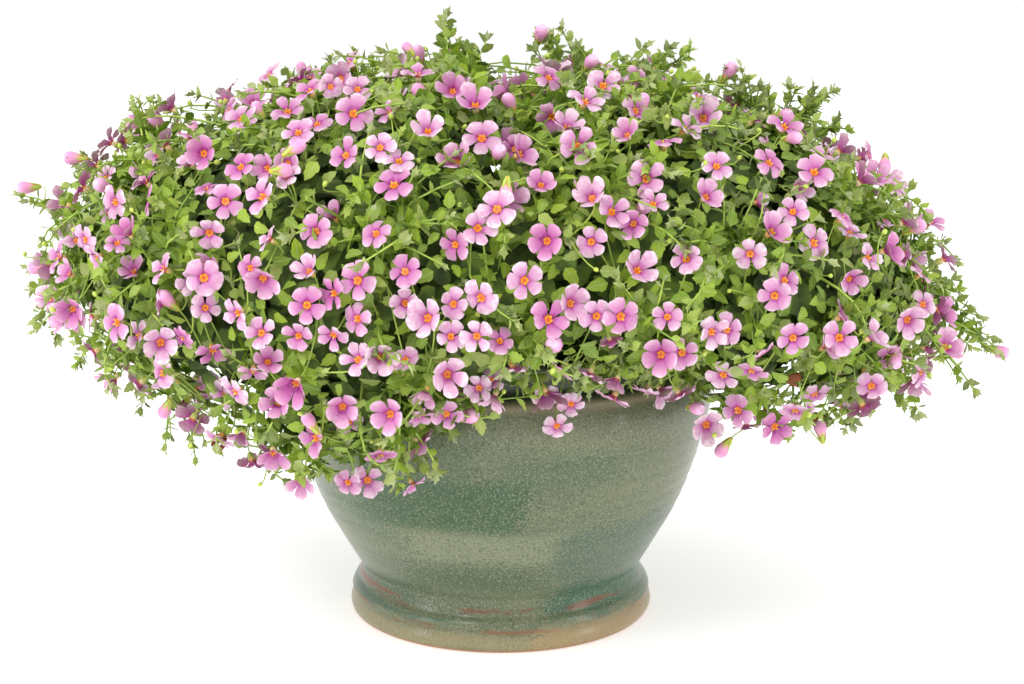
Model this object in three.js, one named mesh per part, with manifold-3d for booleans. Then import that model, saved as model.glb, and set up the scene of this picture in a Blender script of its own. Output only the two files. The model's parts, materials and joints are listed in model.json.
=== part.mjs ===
// Potted bacopa: a glazed stoneware pot, potting mix, and a dome of leafy flowering shoots.
// Millimetres, +Z up. The origin is the centre of the pot's underside, and -Y is the front.

import * as THREE from 'three';
import { mergeVertices } from 'three/addons/utils/BufferGeometryUtils.js';
import Module from 'manifold-3d';

const wasm = await Module();
wasm.setup();

// Pot, thrown on a wheel: foot ring, waist, belly, shoulder, neck and lip
const FOOT_RADIUS = 85;
const FOOT_HEIGHT = 26;
const WAIST_RADIUS = 78.6;
const BELLY_RADIUS = 117;
const BELLY_HEIGHT = 124;
const SHOULDER_HEIGHT = 139;
const NECK_RADIUS = 107;
const LIP_RADIUS = 110;
const POT_HEIGHT = 158;
const WALL = 7;
const FLOOR = 10;
const POT_SIDES = 28;
const DRAIN_RADIUS = 5;
const DRAIN_RING = 45;
const DRAIN_COUNT = 3;

// Potting mix, a little mounded, clear of the pot by a hair
const GAP = 0.4;
const SOIL_EDGE = 145;
const SOIL_CROWN = 150;
const HOLE_DEPTH = 22;
const HOLE_GAP = 0.5;

// Dome of foliage, seen from straight above and from the side
const DOME_TOP = 304;
const CLEFT_DEPTH = 20;
const CLEFT_WIDTH = 17;
const CLEFT_PLACE = 7;
const POLAR_END = 150;
const SHOOT_COUNT = 40;
const ROOT_DISC = 86;
const GOLDEN_ANGLE = 137.508;
const STEM_RADIUS = 2.2;
const STEM_SIDES = 4;
const CORE_DEPTH = 36;
const LOW_CORE_DEPTH = 31;
const CORE_RADIUS = 26;
const CORE_FLATNESS = 0.66;
const ROOT_SPREAD = 0.24;
const ROOT_DEPTH = 7;

// The dome by azimuth from +X: its reach, the heights of its widest ring and of its lower edge,
// and how steeply it falls in above and below that ring, where more is steeper
const LOBES = [
  { azimuth: -180, reach: 243, waist: 196, edge: 150, shoulder: 1.15, skirt: 0.6 },
  { azimuth: -152, reach: 232, waist: 192, edge: 120, shoulder: 0.98, skirt: 0.65 },
  { azimuth: -124, reach: 212, waist: 190, edge: 100, shoulder: 0.78, skirt: 0.6 },
  { azimuth: -110, reach: 205, waist: 190, edge: 103, shoulder: 0.75, skirt: 0.6 },
  { azimuth: -98, reach: 200, waist: 192, edge: 140, shoulder: 0.75, skirt: 0.6 },
  { azimuth: -80, reach: 198, waist: 192, edge: 156, shoulder: 0.75, skirt: 0.6 },
  { azimuth: -60, reach: 204, waist: 190, edge: 150, shoulder: 0.85, skirt: 0.6 },
  { azimuth: -42, reach: 216, waist: 182, edge: 124, shoulder: 1, skirt: 0.6 },
  { azimuth: -20, reach: 232, waist: 168, edge: 122, shoulder: 1.15, skirt: 0.5 },
  { azimuth: 10, reach: 246, waist: 162, edge: 126, shoulder: 1.2, skirt: 0.5 },
  { azimuth: 50, reach: 226, waist: 172, edge: 122, shoulder: 1.1, skirt: 0.6 },
  { azimuth: 95, reach: 220, waist: 186, edge: 116, shoulder: 0.95, skirt: 0.6 },
  { azimuth: 140, reach: 224, waist: 192, edge: 130, shoulder: 1.1, skirt: 0.6 },
  { azimuth: 180, reach: 243, waist: 196, edge: 150, shoulder: 1.15, skirt: 0.6 },
];

// Blooms and leaves
const BLOOM_RADIUS = 11.2;
const BLOOM_COUNT = 245;
const BLOOM_SPACING = 23.6;
const TUBE_LENGTH = 4.2;
const LEAF_LENGTH = 27;
const LEAF_COUNT = 110;
const LEAF_TRIES = 480;
const STALK_RADIUS = 1.2;
const NECK_WIDTH = 1.8;
const OWN_SLACK = 0.85;
const GUARD_MARGIN = 0.8;

// The blooms that stand out most from the front, by the pixel where each one is seen in a view
// 1024 pixels wide and 684 high, from an eye 900 mm in front and a little above the middle
const EYE = new THREE.Vector3(0, -900, 326);
const EYE_PITCH = 11.07;
const FOCAL_PIXELS = 1650;
const VIEW_CENTRE = [500.5, 342];
const FRONT_BLOOMS = [
  [56, 324], [122, 320], [165, 372], [160, 265], [215, 260], [223, 200], [260, 200],
  [303, 140], [324, 229], [360, 118], [393, 110], [418, 82], [403, 183], [434, 138],
  [480, 135], [545, 73], [570, 155], [602, 162], [578, 203], [541, 241], [593, 263],
  [647, 182], [640, 105], [702, 117], [774, 138], [811, 177], [713, 188], [682, 263],
  [550, 325], [588, 335], [655, 352], [630, 322], [404, 219], [516, 285], [386, 403],
  [390, 452], [318, 440], [348, 405], [325, 365], [440, 415], [463, 395], [788, 338],
  [822, 330], [823, 241], [905, 325], [864, 377], [751, 374], [740, 404], [785, 440],
  [774, 302], [828, 272], [365, 500], [265, 335], [420, 320], [300, 300], [700, 330],
];

// Sprigs that reach past the dome, by where their tips are
const SPRIG_TIPS = [
  [-29, 0, 328], [21, 0, 318], [-258, -20, 234], [-262, 10, 190], [274, -10, 146],
  [125, 0, 300], [-200, 20, 282], [178, 20, 284],
];

const SPRIG_LEAF = 11;
const BUD_RADIUS = 4;

const LEAF_GREEN = new THREE.Color(0x5e8a36);
const GLAZE_GREEN = new THREE.Color(0x7c9476);
const SOIL_BROWN = new THREE.Color(0x3a2c20);

// Seeded draws, the same numbers on every run
function seededDraw(seed) {
  let state = seed >>> 0;
  return () => {
    state = (Math.imul(state, 1664525) + 1013904223) >>> 0;
    return state / 4294967296;
  };
}

const degrees = THREE.MathUtils.degToRad;
const mix = THREE.MathUtils.lerp;
const UP = new THREE.Vector3(0, 0, 1);

// Solids

function solidOf(positions, triangles) {
  let volume = 0;
  const corner = (i) => new THREE.Vector3().fromArray(positions, 3 * i);
  for (let i = 0; i < triangles.length; i += 3) {
    const [a, b, c] = [corner(triangles[i]), corner(triangles[i + 1]), corner(triangles[i + 2])];
    volume += a.dot(b.cross(c));
  }
  const order = volume < 0 ? [0, 2, 1] : [0, 1, 2];
  const outward = triangles.map((_, i) => triangles[i - (i % 3) + order[i % 3]]);
  return new wasm.Manifold(new wasm.Mesh({
    numProp: 3,
    vertProperties: new Float32Array(positions),
    triVerts: new Uint32Array(outward),
  }));
}

function solidFromGeometry(geometry) {
  const bare = geometry.clone();
  bare.deleteAttribute('normal');
  bare.deleteAttribute('uv');
  const merged = mergeVertices(bare, 1e-4);
  const index = merged.index.array;
  const kept = [];
  for (let i = 0; i < index.length; i += 3) {
    const [a, b, c] = [index[i], index[i + 1], index[i + 2]];
    if (a !== b && b !== c && c !== a) kept.push(a, b, c);
  }
  return solidOf(Array.from(merged.attributes.position.array), kept);
}

function lathe(profile, sides) {
  const points = profile.map(([radius, height]) => new THREE.Vector2(radius, height));
  const geometry = new THREE.LatheGeometry(points, sides);
  geometry.rotateX(Math.PI / 2);
  return solidFromGeometry(geometry);
}

// One body out of many: a sealed hollow is filled and a loose scrap is dropped
function fuse(solids) {
  const bodies = solids.reduce((whole, solid) => whole.add(solid)).decompose();
  return bodies.reduce((best, body) => (body.volume() > best.volume() ? body : best));
}

function meshOf(name, solid, material) {
  const { numProp, vertProperties, triVerts } = solid.getMesh();
  const positions = [];
  for (let i = 0; i < vertProperties.length; i += numProp) {
    positions.push(vertProperties[i], vertProperties[i + 1], vertProperties[i + 2]);
  }
  const geometry = new THREE.BufferGeometry();
  geometry.setAttribute('position', new THREE.Float32BufferAttribute(positions, 3));
  geometry.setIndex(Array.from(triVerts));
  geometry.computeVertexNormals();
  const mesh = new THREE.Mesh(geometry, material);
  mesh.name = name;
  return mesh;
}

// Dome of foliage

function lobeAt(azimuth) {
  const turned = ((azimuth + 180) % 360 + 360) % 360 - 180;
  const after = LOBES.findIndex((lobe) => lobe.azimuth > turned);
  const [low, high] = [LOBES[after - 1], LOBES[after]];
  const part = (turned - low.azimuth) / (high.azimuth - low.azimuth);
  const smooth = (1 - Math.cos(Math.PI * part)) / 2;
  const names = ['reach', 'waist', 'edge', 'shoulder', 'skirt'];
  return Object.fromEntries(names.map((name) => [name, mix(low[name], high[name], smooth)]));
}

// A point on the dome. polar is 0 at the crown, 90 at the widest ring and 150 at the lower edge.
// A shallow cleft runs from front to back over the crown, where the plant parts in two.
function domePoint(azimuth, polar) {
  const lobe = lobeAt(azimuth);
  const angle = degrees(polar);
  const turn = degrees(azimuth);
  const upper = polar < 90;
  const radius = lobe.reach * Math.sin(angle) ** (upper ? lobe.shoulder : lobe.skirt);
  const [x, y] = [radius * Math.cos(turn), radius * Math.sin(turn)];
  if (upper) {
    const rise = Math.cos(angle) ** 0.8;
    const cleft = CLEFT_DEPTH * rise * Math.exp(-(((x - CLEFT_PLACE) / CLEFT_WIDTH) ** 2));
    return new THREE.Vector3(x, y, mix(lobe.waist, DOME_TOP, rise) - cleft);
  }
  const drop = Math.cos(angle) / Math.cos(degrees(POLAR_END));
  return new THREE.Vector3(x, y, mix(lobe.waist, lobe.edge, drop));
}

function domeNormal(azimuth, polar) {
  const step = 2;
  const p = Math.max(polar, 3);
  const along = domePoint(azimuth, p + step).sub(domePoint(azimuth, p - step));
  const around = domePoint(azimuth + step, p).sub(domePoint(azimuth - step, p));
  const normal = along.cross(around).normalize();
  return polar < 3 ? UP.clone() : normal;
}

// Place number k of count on a spiral that covers the dome evenly
function spiralPlace(k, count, offset) {
  const share = (k + 0.5) / count;
  const polar = THREE.MathUtils.radToDeg(Math.acos(1 - share * (1 - Math.cos(degrees(POLAR_END)))));
  return { azimuth: k * GOLDEN_ANGLE + offset, polar };
}

// The nearest point of the dome along the line of sight through a pixel
function seenPlace(pixelX, pixelY) {
  const ahead = new THREE.Vector3(pixelX - VIEW_CENTRE[0], FOCAL_PIXELS, VIEW_CENTRE[1] - pixelY);
  ahead.applyAxisAngle(new THREE.Vector3(1, 0, 0), -degrees(EYE_PITCH)).normalize();
  let best = { miss: Infinity };
  for (let azimuth = -180; azimuth < 0; azimuth += 3) {
    for (let polar = 20; polar < POLAR_END; polar += 2) {
      const offset = domePoint(azimuth, polar).sub(EYE);
      const depth = offset.dot(ahead);
      const miss = offset.addScaledVector(ahead, -depth).length() + depth * 0.02;
      if (miss < best.miss) best = { miss, azimuth, polar };
    }
  }
  return best;
}

// Shoots: each rises from its own hole in the potting mix to its own part of the dome

function soilHeight(radius) {
  return mix(SOIL_CROWN, SOIL_EDGE, (radius / 100) ** 2);
}

function makeShoot(k) {
  const { azimuth, polar } = spiralPlace(k, SHOOT_COUNT, -96);
  const surface = domePoint(azimuth, polar);
  const normal = domeNormal(azimuth, polar);
  const coreDepth = polar < 110 ? CORE_DEPTH : LOW_CORE_DEPTH;
  const core = surface.clone().addScaledVector(normal, -coreDepth);
  const rootRadius = ROOT_DISC * Math.sqrt((k + 0.5) / SHOOT_COUNT);
  const turn = degrees(azimuth);
  const root = new THREE.Vector3(
    rootRadius * Math.cos(turn), rootRadius * Math.sin(turn), soilHeight(rootRadius));
  const outward = new THREE.Vector3(Math.cos(turn), Math.sin(turn), 0);
  const rise = mix(0.55, 0.62, polar / POLAR_END) * (Math.max(core.z, 190) - root.z) + 12;
  const lower = root.clone().addScaledVector(UP, rise);
  lower.addScaledVector(outward, 0.12 * (core.clone().sub(root).dot(outward)));
  const upper = core.clone().addScaledVector(outward, -0.42 * core.clone().sub(root).dot(outward));
  upper.z = Math.max(core.z - 8, 176 + 0.12 * core.z);
  const path = new THREE.CubicBezierCurve3(root, lower, upper, core);
  return { k, azimuth, polar, surface, normal, core, root, path, parts: [], guards: [] };
}

const shoots = Array.from({ length: SHOOT_COUNT }, (_, k) => makeShoot(k));

function nearestShoot(point) {
  const distance = (shoot) => shoot.surface.distanceTo(point);
  return shoots.reduce((best, shoot) => (distance(shoot) < distance(best) ? shoot : best));
}

// Guards are the balls that a stem, stalk, leaf or bloom keeps to itself, so that nothing else
// grows through it. A shoot's own stem and core don't hold off the stalks that rise from them.

function isClear(owner, guards) {
  const apart = (a, b, slack) => a.centre.distanceTo(b.centre) > slack * (a.radius + b.radius);
  return shoots.every((shoot) => shoot.guards.every((kept) => guards.every((guard) => (
    shoot === owner ? kept.inner || apart(kept, guard, OWN_SLACK) : apart(kept, guard, 1)))));
}

function stalkGuards(root, to) {
  const count = Math.ceil(root.distanceTo(to) / 4);
  const centres = Array.from({ length: count }, (_, i) => root.clone().lerp(to, (i + 1) / count));
  return centres.filter((centre) => centre.distanceTo(root) > CORE_RADIUS / 2)
    .map((centre) => ({ centre, radius: STALK_RADIUS + GUARD_MARGIN }));
}

// Where in the core the stalk to a place starts: deep, and off centre on the side of that place
function stalkRoot(shoot, place) {
  const offset = place.clone().sub(shoot.core);
  offset.addScaledVector(shoot.normal, -offset.dot(shoot.normal));
  const root = shoot.core.clone().addScaledVector(offset.clampLength(0, 52), ROOT_SPREAD);
  return root.addScaledVector(shoot.normal, -ROOT_DEPTH);
}

for (const shoot of shoots) {
  shoot.guards.push({ centre: shoot.core, radius: CORE_RADIUS, inner: true });
  for (const point of shoot.path.getPoints(16)) {
    shoot.guards.push({ centre: point, radius: STEM_RADIUS + GUARD_MARGIN, inner: true });
  }
}

// Two directions square to an axis and to each other
function squareTo(axis) {
  const helper = Math.abs(axis.z) < 0.9 ? UP : new THREE.Vector3(1, 0, 0);
  const side = new THREE.Vector3().crossVectors(axis, helper).normalize();
  return [side, new THREE.Vector3().crossVectors(side, axis).normalize()];
}

// The three points round one place along a stalk
function stalkRing(centre, direction, radius) {
  const [side, face] = squareTo(direction);
  return [90, 210, 330].map((turn) => centre.clone()
    .addScaledVector(side, radius * Math.cos(degrees(turn)))
    .addScaledVector(face, radius * Math.sin(degrees(turn))));
}

// A bloom: five petals, each with one or two corners and a notch to the next, on a short tube
// and a stalk that tapers to a point deep in the core
function bloomSolid(root, centre, axis, radius, spin, corners) {
  const [side, upward] = squareTo(axis);
  const point = (turn, reach, lift) => centre.clone()
    .addScaledVector(side, reach * Math.cos(degrees(turn)))
    .addScaledVector(upward, reach * Math.sin(degrees(turn)))
    .addScaledVector(axis, lift);
  const neck = centre.clone().addScaledVector(axis, -TUBE_LENGTH);
  const stalk = neck.clone().sub(root).normalize();
  const neckRing = stalkRing(neck, stalk, NECK_WIDTH);
  const tilt = stalkTurn(neckRing[0].clone().sub(neck), side, upward);
  const rim = [];
  for (let petal = 0; petal < 5; petal += 1) {
    const middle = tilt + petal * 72 + 36 + spin;
    if (corners === 2) rim.push(point(middle - 23, radius, 1.6), point(middle + 23, radius, 1.6));
    else rim.push(point(middle, radius * 1.06, 1.6));
    rim.push(point(middle + 36, radius * (corners === 2 ? 0.42 : 0.5), 0));
  }
  const points = [root, ...neckRing, ...rim, point(0, 0, -1.4)];
  const triangles = [0, 2, 1, 0, 3, 2, 0, 1, 3];
  const first = 4;
  const top = first + rim.length;
  const neckOf = (i) => 1 + Math.round((i * 3) / rim.length) % 3;
  for (let i = 0; i < rim.length; i += 1) {
    const j = (i + 1) % rim.length;
    triangles.push(top, first + i, first + j);
    triangles.push(first + j, first + i, neckOf(i));
    if (neckOf(i) !== neckOf(j)) triangles.push(first + j, neckOf(i), neckOf(j));
  }
  return solidOf(points.flatMap((p) => p.toArray()), triangles);
}

// The turn about a bloom's axis, in degrees, at which a stalk's first corner lies
function stalkTurn(offset, side, upward) {
  return THREE.MathUtils.radToDeg(Math.atan2(offset.dot(upward), offset.dot(side)));
}

// A leaf: two coarse teeth a side and a tip, with a raised rib, on a stalk
function leafSolid(root, base, direction, face, length) {
  const across = new THREE.Vector3().crossVectors(face, direction).normalize();
  const normal = new THREE.Vector3().crossVectors(direction, across).normalize();
  const point = (along, sideways, lift) => base.clone()
    .addScaledVector(direction, along * length)
    .addScaledVector(across, sideways * length)
    .addScaledVector(normal, lift);
  const half = [[0.12, 0.36, -1.0], [0.38, 0.34, -0.6], [0.58, 0.37, -1.2]];
  const left = half.map(([along, sideways, lift]) => point(along, sideways, lift));
  const right = half.map(([along, sideways, lift]) => point(along, -sideways, lift)).reverse();
  const baseRing = [[0, 1.2], [0.045, -0.8], [-0.045, -0.8]].map(([y, z]) => point(0, y, z));
  const points = [root, ...baseRing, ...left, point(1, 0, -2.2), ...right];
  points.push(point(0.42, 0, 1.0), point(0.42, 0, -1.0));
  const ribTop = points.length - 2;
  const ribUnder = points.length - 1;
  const edge = [2, 4, 5, 6, 7, 8, 9, 10, 3];
  const triangles = [0, 2, 1, 0, 3, 2, 0, 1, 3, ribTop, 3, 1, ribTop, 1, 2, ribUnder, 2, 3];
  for (let i = 0; i + 1 < edge.length; i += 1) {
    triangles.push(ribTop, edge[i], edge[i + 1], ribUnder, edge[i + 1], edge[i]);
  }
  return solidOf(points.flatMap((p) => p.toArray()), triangles);
}

// A closed balloon bud on its stalk
function budSolid(root, centre, axis, radius) {
  const neck = centre.clone().addScaledVector(axis, -radius * 1.3);
  const tip = centre.clone().addScaledVector(axis, radius * 1.1);
  const points = [root, ...stalkRing(neck, axis, STALK_RADIUS), ...stalkRing(centre, axis, radius), tip];
  const triangles = [];
  for (let i = 0; i < 3; i += 1) {
    const j = (i + 1) % 3;
    triangles.push(0, 1 + i, 1 + j, 1 + i, 4 + i, 4 + j, 1 + i, 4 + j, 1 + j, 4 + i, 7, 4 + j);
  }
  return solidOf(points.flatMap((p) => p.toArray()), triangles);
}

// The stem, from the bottom of its hole to the middle of the core
function stemSolid(shoot) {
  const steps = [0, 0.3, 0.62, 1];
  const foot = shoot.root.clone().addScaledVector(UP, -HOLE_DEPTH + 1);
  const centres = [foot, ...steps.map((t) => shoot.path.getPoint(t))];
  const directions = [UP, UP, ...steps.slice(1).map((t) => shoot.path.getTangent(t))];
  const turn = degrees(shoot.azimuth);
  const outward = new THREE.Vector3(Math.cos(turn), Math.sin(turn), 0);
  const around = new THREE.Vector3().crossVectors(UP, outward);
  const points = [];
  centres.forEach((centre, level) => {
    const across = new THREE.Vector3().crossVectors(around, directions[level]).normalize();
    const radius = mix(STEM_RADIUS, STEM_RADIUS * 0.75, level / (centres.length - 1));
    for (let i = 0; i < STEM_SIDES; i += 1) {
      const angle = (i / STEM_SIDES) * 2 * Math.PI;
      points.push(centre.clone().addScaledVector(across, radius * Math.cos(angle))
        .addScaledVector(around, radius * Math.sin(angle)));
    }
  });
  const triangles = [0, 2, 1, 0, 3, 2];
  const top = points.length - STEM_SIDES;
  triangles.push(top, top + 1, top + 2, top, top + 2, top + 3);
  for (let level = 0; level + 1 < centres.length; level += 1) {
    for (let i = 0; i < STEM_SIDES; i += 1) {
      const j = (i + 1) % STEM_SIDES;
      const [a, b] = [i + level * STEM_SIDES, j + level * STEM_SIDES];
      triangles.push(a, b, b + STEM_SIDES, a, b + STEM_SIDES, a + STEM_SIDES);
    }
  }
  return solidOf(points.flatMap((p) => p.toArray()), triangles);
}

// The core: the tangle of inner twigs and old leaves, a ragged clump with uneven corners
function coreSolid(shoot) {
  const draw = seededDraw(900 + shoot.k);
  const geometry = new THREE.IcosahedronGeometry(1, 0);
  geometry.deleteAttribute('normal');
  geometry.deleteAttribute('uv');
  const merged = mergeVertices(geometry, 1e-4);
  const place = merged.attributes.position;
  const frame = new THREE.Quaternion().setFromUnitVectors(UP, shoot.normal);
  for (let i = 0; i < place.count; i += 1) {
    const corner = new THREE.Vector3().fromBufferAttribute(place, i);
    corner.multiplyScalar(CORE_RADIUS * mix(0.72, 1, draw()));
    corner.z *= CORE_FLATNESS;
    corner.applyQuaternion(frame).add(shoot.core);
    place.setXYZ(i, corner.x, corner.y, corner.z);
  }
  return solidOf(Array.from(place.array), Array.from(merged.index.array));
}

// Placing the blooms and leaves

const draw = seededDraw(20251);
const blooms = [];

for (const tip of SPRIG_TIPS) {
  const end = new THREE.Vector3(...tip);
  const shoot = nearestShoot(end);
  const axis = end.clone().sub(shoot.core).normalize();
  const [side, upward] = squareTo(axis);
  shoot.guards.push(...stalkGuards(shoot.core, end), { centre: end, radius: BUD_RADIUS + 1 });
  shoot.parts.push(budSolid(shoot.core, end, axis, BUD_RADIUS));
  const reach = end.distanceTo(shoot.core);
  for (const [back, turn] of [[26, 200], [17, 0], [9, 110]]) {
    const root = end.clone().addScaledVector(axis, -back);
    if (reach - back < CORE_RADIUS + SPRIG_LEAF) continue;
    const direction = side.clone().multiplyScalar(Math.cos(degrees(turn)))
      .addScaledVector(upward, Math.sin(degrees(turn))).addScaledVector(axis, 0.7).normalize();
    const base = root.clone().addScaledVector(direction, 2.2);
    const middle = base.clone().addScaledVector(direction, SPRIG_LEAF / 2);
    shoot.guards.push({ centre: middle, radius: SPRIG_LEAF * 0.6 });
    shoot.parts.push(leafSolid(root, base, direction, axis, SPRIG_LEAF));
  }
}

// A bloom is drawn in towards its own shoot until it stands clear of the others
function addBloom(azimuth, polar, facing, corners) {
  const surface = domePoint(azimuth, polar);
  const shoot = nearestShoot(surface);
  const normal = domeNormal(azimuth, polar);
  const jitter = new THREE.Vector3(draw() - 0.5, draw() - 0.5, draw() - 0.5);
  const radius = BLOOM_RADIUS * mix(0.9, 1.1, draw());
  const spin = (draw() - 0.5) * 30;
  const lift = mix(-6, 5, draw());
  const axis = normal.clone().addScaledVector(UP, 0.22).addScaledVector(jitter, 0.7);
  axis.addScaledVector(new THREE.Vector3(0, -1, 0.2), facing).normalize();
  for (let pull = 0; pull < 0.5; pull += 0.1) {
    const centre = surface.clone().addScaledVector(normal, lift).lerp(shoot.surface, pull);
    const stalk = centre.clone().sub(shoot.core).normalize();
    if (axis.dot(stalk) < 0.4) axis.addScaledVector(stalk, 0.8).normalize();
    const neck = centre.clone().addScaledVector(axis, -TUBE_LENGTH);
    const root = stalkRoot(shoot, neck);
    const guards = [{ centre, radius: radius + GUARD_MARGIN }, ...stalkGuards(root, neck)];
    const spaced = blooms.every((other) => other.centre.distanceTo(centre) > BLOOM_SPACING);
    if (spaced && isClear(shoot, guards)) {
      shoot.guards.push(...guards);
      shoot.parts.push(bloomSolid(root, centre, axis, radius, spin, corners));
      blooms.push({ centre, axis, radius });
      return;
    }
  }
}

for (const [pixelX, pixelY] of FRONT_BLOOMS) {
  const { azimuth, polar } = seenPlace(pixelX, pixelY);
  addBloom(azimuth, polar, 0.35, 2);
}
for (let k = 0; k < BLOOM_COUNT; k += 1) {
  const { azimuth, polar } = spiralPlace(k, BLOOM_COUNT, 31);
  addBloom(azimuth + 6 * draw(), polar, 0, 1);
}

let leafCount = 0;

function addLeaf(shoot, target, face, length) {
  const sideways = target.clone().sub(shoot.core);
  sideways.addScaledVector(shoot.normal, -sideways.dot(shoot.normal)).normalize();
  const direction = target.clone().sub(shoot.core).normalize().addScaledVector(sideways, 0.9);
  direction.normalize();
  const base = target.clone().addScaledVector(direction, -length * 0.4);
  const root = stalkRoot(shoot, base);
  const guards = [
    { centre: target.clone().addScaledVector(direction, -length * 0.12), radius: length * 0.4 },
    { centre: target.clone().addScaledVector(direction, length * 0.3), radius: length * 0.27 },
    ...stalkGuards(root, base),
  ];
  if (!isClear(shoot, guards)) return false;
  shoot.guards.push(...guards);
  shoot.parts.push(leafSolid(root, base, direction, face, length));
  leafCount += 1;
  return true;
}

for (let k = 0; k < LEAF_TRIES; k += 1) {
  const scattered = (k * 7) % LEAF_TRIES;
  const { azimuth, polar } = spiralPlace(scattered, LEAF_TRIES, 77);
  const surface = domePoint(azimuth, polar);
  const shoot = nearestShoot(surface);
  const normal = domeNormal(azimuth, polar);
  const jitter = new THREE.Vector3(draw() - 0.5, draw() - 0.5, draw() - 0.5);
  const depth = mix(2, 15, draw());
  const length = LEAF_LENGTH * mix(0.82, 1.1, draw());
  const face = normal.clone().addScaledVector(jitter, 1.1).normalize();
  if (leafCount < LEAF_COUNT) {
    for (let pull = 0; pull < 0.36; pull += 0.12) {
      const target = surface.clone().addScaledVector(normal, -depth).lerp(shoot.core, pull * 0.7);
      if (addLeaf(shoot, target, face, length)) break;
    }
  }
}

// Pot and potting mix

const potProfile = [
  [0, 0], [FOOT_RADIUS - 5, 0], [FOOT_RADIUS, 5], [FOOT_RADIUS - 0.5, 10],
  [FOOT_RADIUS - 3.4, 17], [WAIST_RADIUS, FOOT_HEIGHT], [86.2, 40], [98, 62],
  [108.8, 90], [BELLY_RADIUS, BELLY_HEIGHT], [114.5, SHOULDER_HEIGHT],
  [NECK_RADIUS, 144], [LIP_RADIUS, POT_HEIGHT - 3], [LIP_RADIUS - 1, POT_HEIGHT],
];
const innerWall = [
  [LIP_RADIUS - WALL, POT_HEIGHT], [NECK_RADIUS - WALL, SOIL_EDGE],
  [BELLY_RADIUS - WALL, BELLY_HEIGHT - 2], [97.5, 75], [70, 30], [68, FLOOR],
];
const drain = new THREE.CylinderGeometry(DRAIN_RADIUS, DRAIN_RADIUS, FLOOR * 3, 8);
drain.rotateX(Math.PI / 2);
let pot = lathe([...potProfile, ...innerWall, [0, FLOOR]], POT_SIDES);
for (let i = 0; i < DRAIN_COUNT; i += 1) {
  const turn = degrees(360 * i / DRAIN_COUNT + 30);
  const hole = drain.clone();
  hole.translate(DRAIN_RING * Math.cos(turn), DRAIN_RING * Math.sin(turn), 0);
  pot = pot.subtract(solidFromGeometry(hole));
}

const soilSide = innerWall.slice(1).map(([radius, height]) => [radius - GAP, height]).reverse();
soilSide[0][1] = FLOOR + GAP;
const soilProfile = [[0, FLOOR + GAP], ...soilSide, [0, SOIL_CROWN]];
let soil = lathe(soilProfile, POT_SIDES);
for (const shoot of shoots) {
  const hole = new THREE.CylinderGeometry(STEM_RADIUS + HOLE_GAP, STEM_RADIUS + HOLE_GAP,
    HOLE_DEPTH * 2, STEM_SIDES);
  hole.rotateX(Math.PI / 2);
  hole.rotateZ(degrees(shoot.azimuth));
  hole.translate(shoot.root.x, shoot.root.y, shoot.root.z);
  soil = soil.subtract(solidFromGeometry(hole));
}

// The part

const glaze = new THREE.MeshStandardMaterial({ color: GLAZE_GREEN, roughness: 0.35, metalness: 0 });
const mixMaterial = new THREE.MeshStandardMaterial({ color: SOIL_BROWN, roughness: 1, metalness: 0 });
const foliage = new THREE.MeshStandardMaterial({ color: LEAF_GREEN, roughness: 0.7, metalness: 0 });

const part = new THREE.Group();
part.add(meshOf('pot', pot, glaze));
part.add(meshOf('potting_mix', soil, mixMaterial));
for (const shoot of shoots) {
  const solid = fuse([stemSolid(shoot), coreSolid(shoot), ...shoot.parts]);
  part.add(meshOf(`shoot_${String(shoot.k + 1).padStart(2, '0')}`, solid, foliage));
}

export default part;
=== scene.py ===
# %% [markdown]
# # A potted bacopa in a sage-glazed pot
#
# The plant is a wide dome of thin, leafy stems that carry some hundreds of small lilac-pink blooms.
# The solids of the part give every shoot its place. This lesson dresses them: a thrown pot with a
# running glaze, loose potting mix, toothed leaves on twigs, and blooms with five uneven petals.
# Everything is in metres, +Z up, with the front of the plant towards -Y.

# %% Load the frame
import bisect
import json
import math
import random

import bmesh
import bpy
from mathutils import Matrix, Vector, kdtree, noise

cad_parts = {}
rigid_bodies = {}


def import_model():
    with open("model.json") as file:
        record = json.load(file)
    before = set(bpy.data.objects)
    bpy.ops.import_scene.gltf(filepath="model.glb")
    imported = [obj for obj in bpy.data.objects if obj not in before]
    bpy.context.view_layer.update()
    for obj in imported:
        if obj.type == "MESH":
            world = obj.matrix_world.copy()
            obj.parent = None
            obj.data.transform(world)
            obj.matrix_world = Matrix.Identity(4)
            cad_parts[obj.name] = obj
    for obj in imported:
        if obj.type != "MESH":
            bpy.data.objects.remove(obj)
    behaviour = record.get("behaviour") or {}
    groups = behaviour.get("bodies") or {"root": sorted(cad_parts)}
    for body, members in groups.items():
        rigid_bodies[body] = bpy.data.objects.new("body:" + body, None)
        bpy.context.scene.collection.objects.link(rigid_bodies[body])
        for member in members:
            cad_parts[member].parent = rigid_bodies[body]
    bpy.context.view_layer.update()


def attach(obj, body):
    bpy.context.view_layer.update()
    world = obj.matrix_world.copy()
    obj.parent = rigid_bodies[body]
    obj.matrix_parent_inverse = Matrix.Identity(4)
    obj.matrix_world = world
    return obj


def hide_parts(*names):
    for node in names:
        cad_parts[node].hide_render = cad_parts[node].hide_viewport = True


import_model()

MM = 0.001
UP = Vector((0, 0, 1))

# %% [markdown]
# ## The camera
#
# A product photographer stands about a metre off and looks a little down, so that the pot's lip and
# foot both show as shallow ellipses. The eye's height and distance come from how round they look.

# %% Camera
EYE = Vector((0, -0.900, 0.326))
EYE_PITCH = math.radians(11.07)
LENS = 58.0
SENSOR = 36.0
VIEW_SHIFT = 0.0112
IMAGE_WIDTH, IMAGE_HEIGHT = 1024, 684

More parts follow.
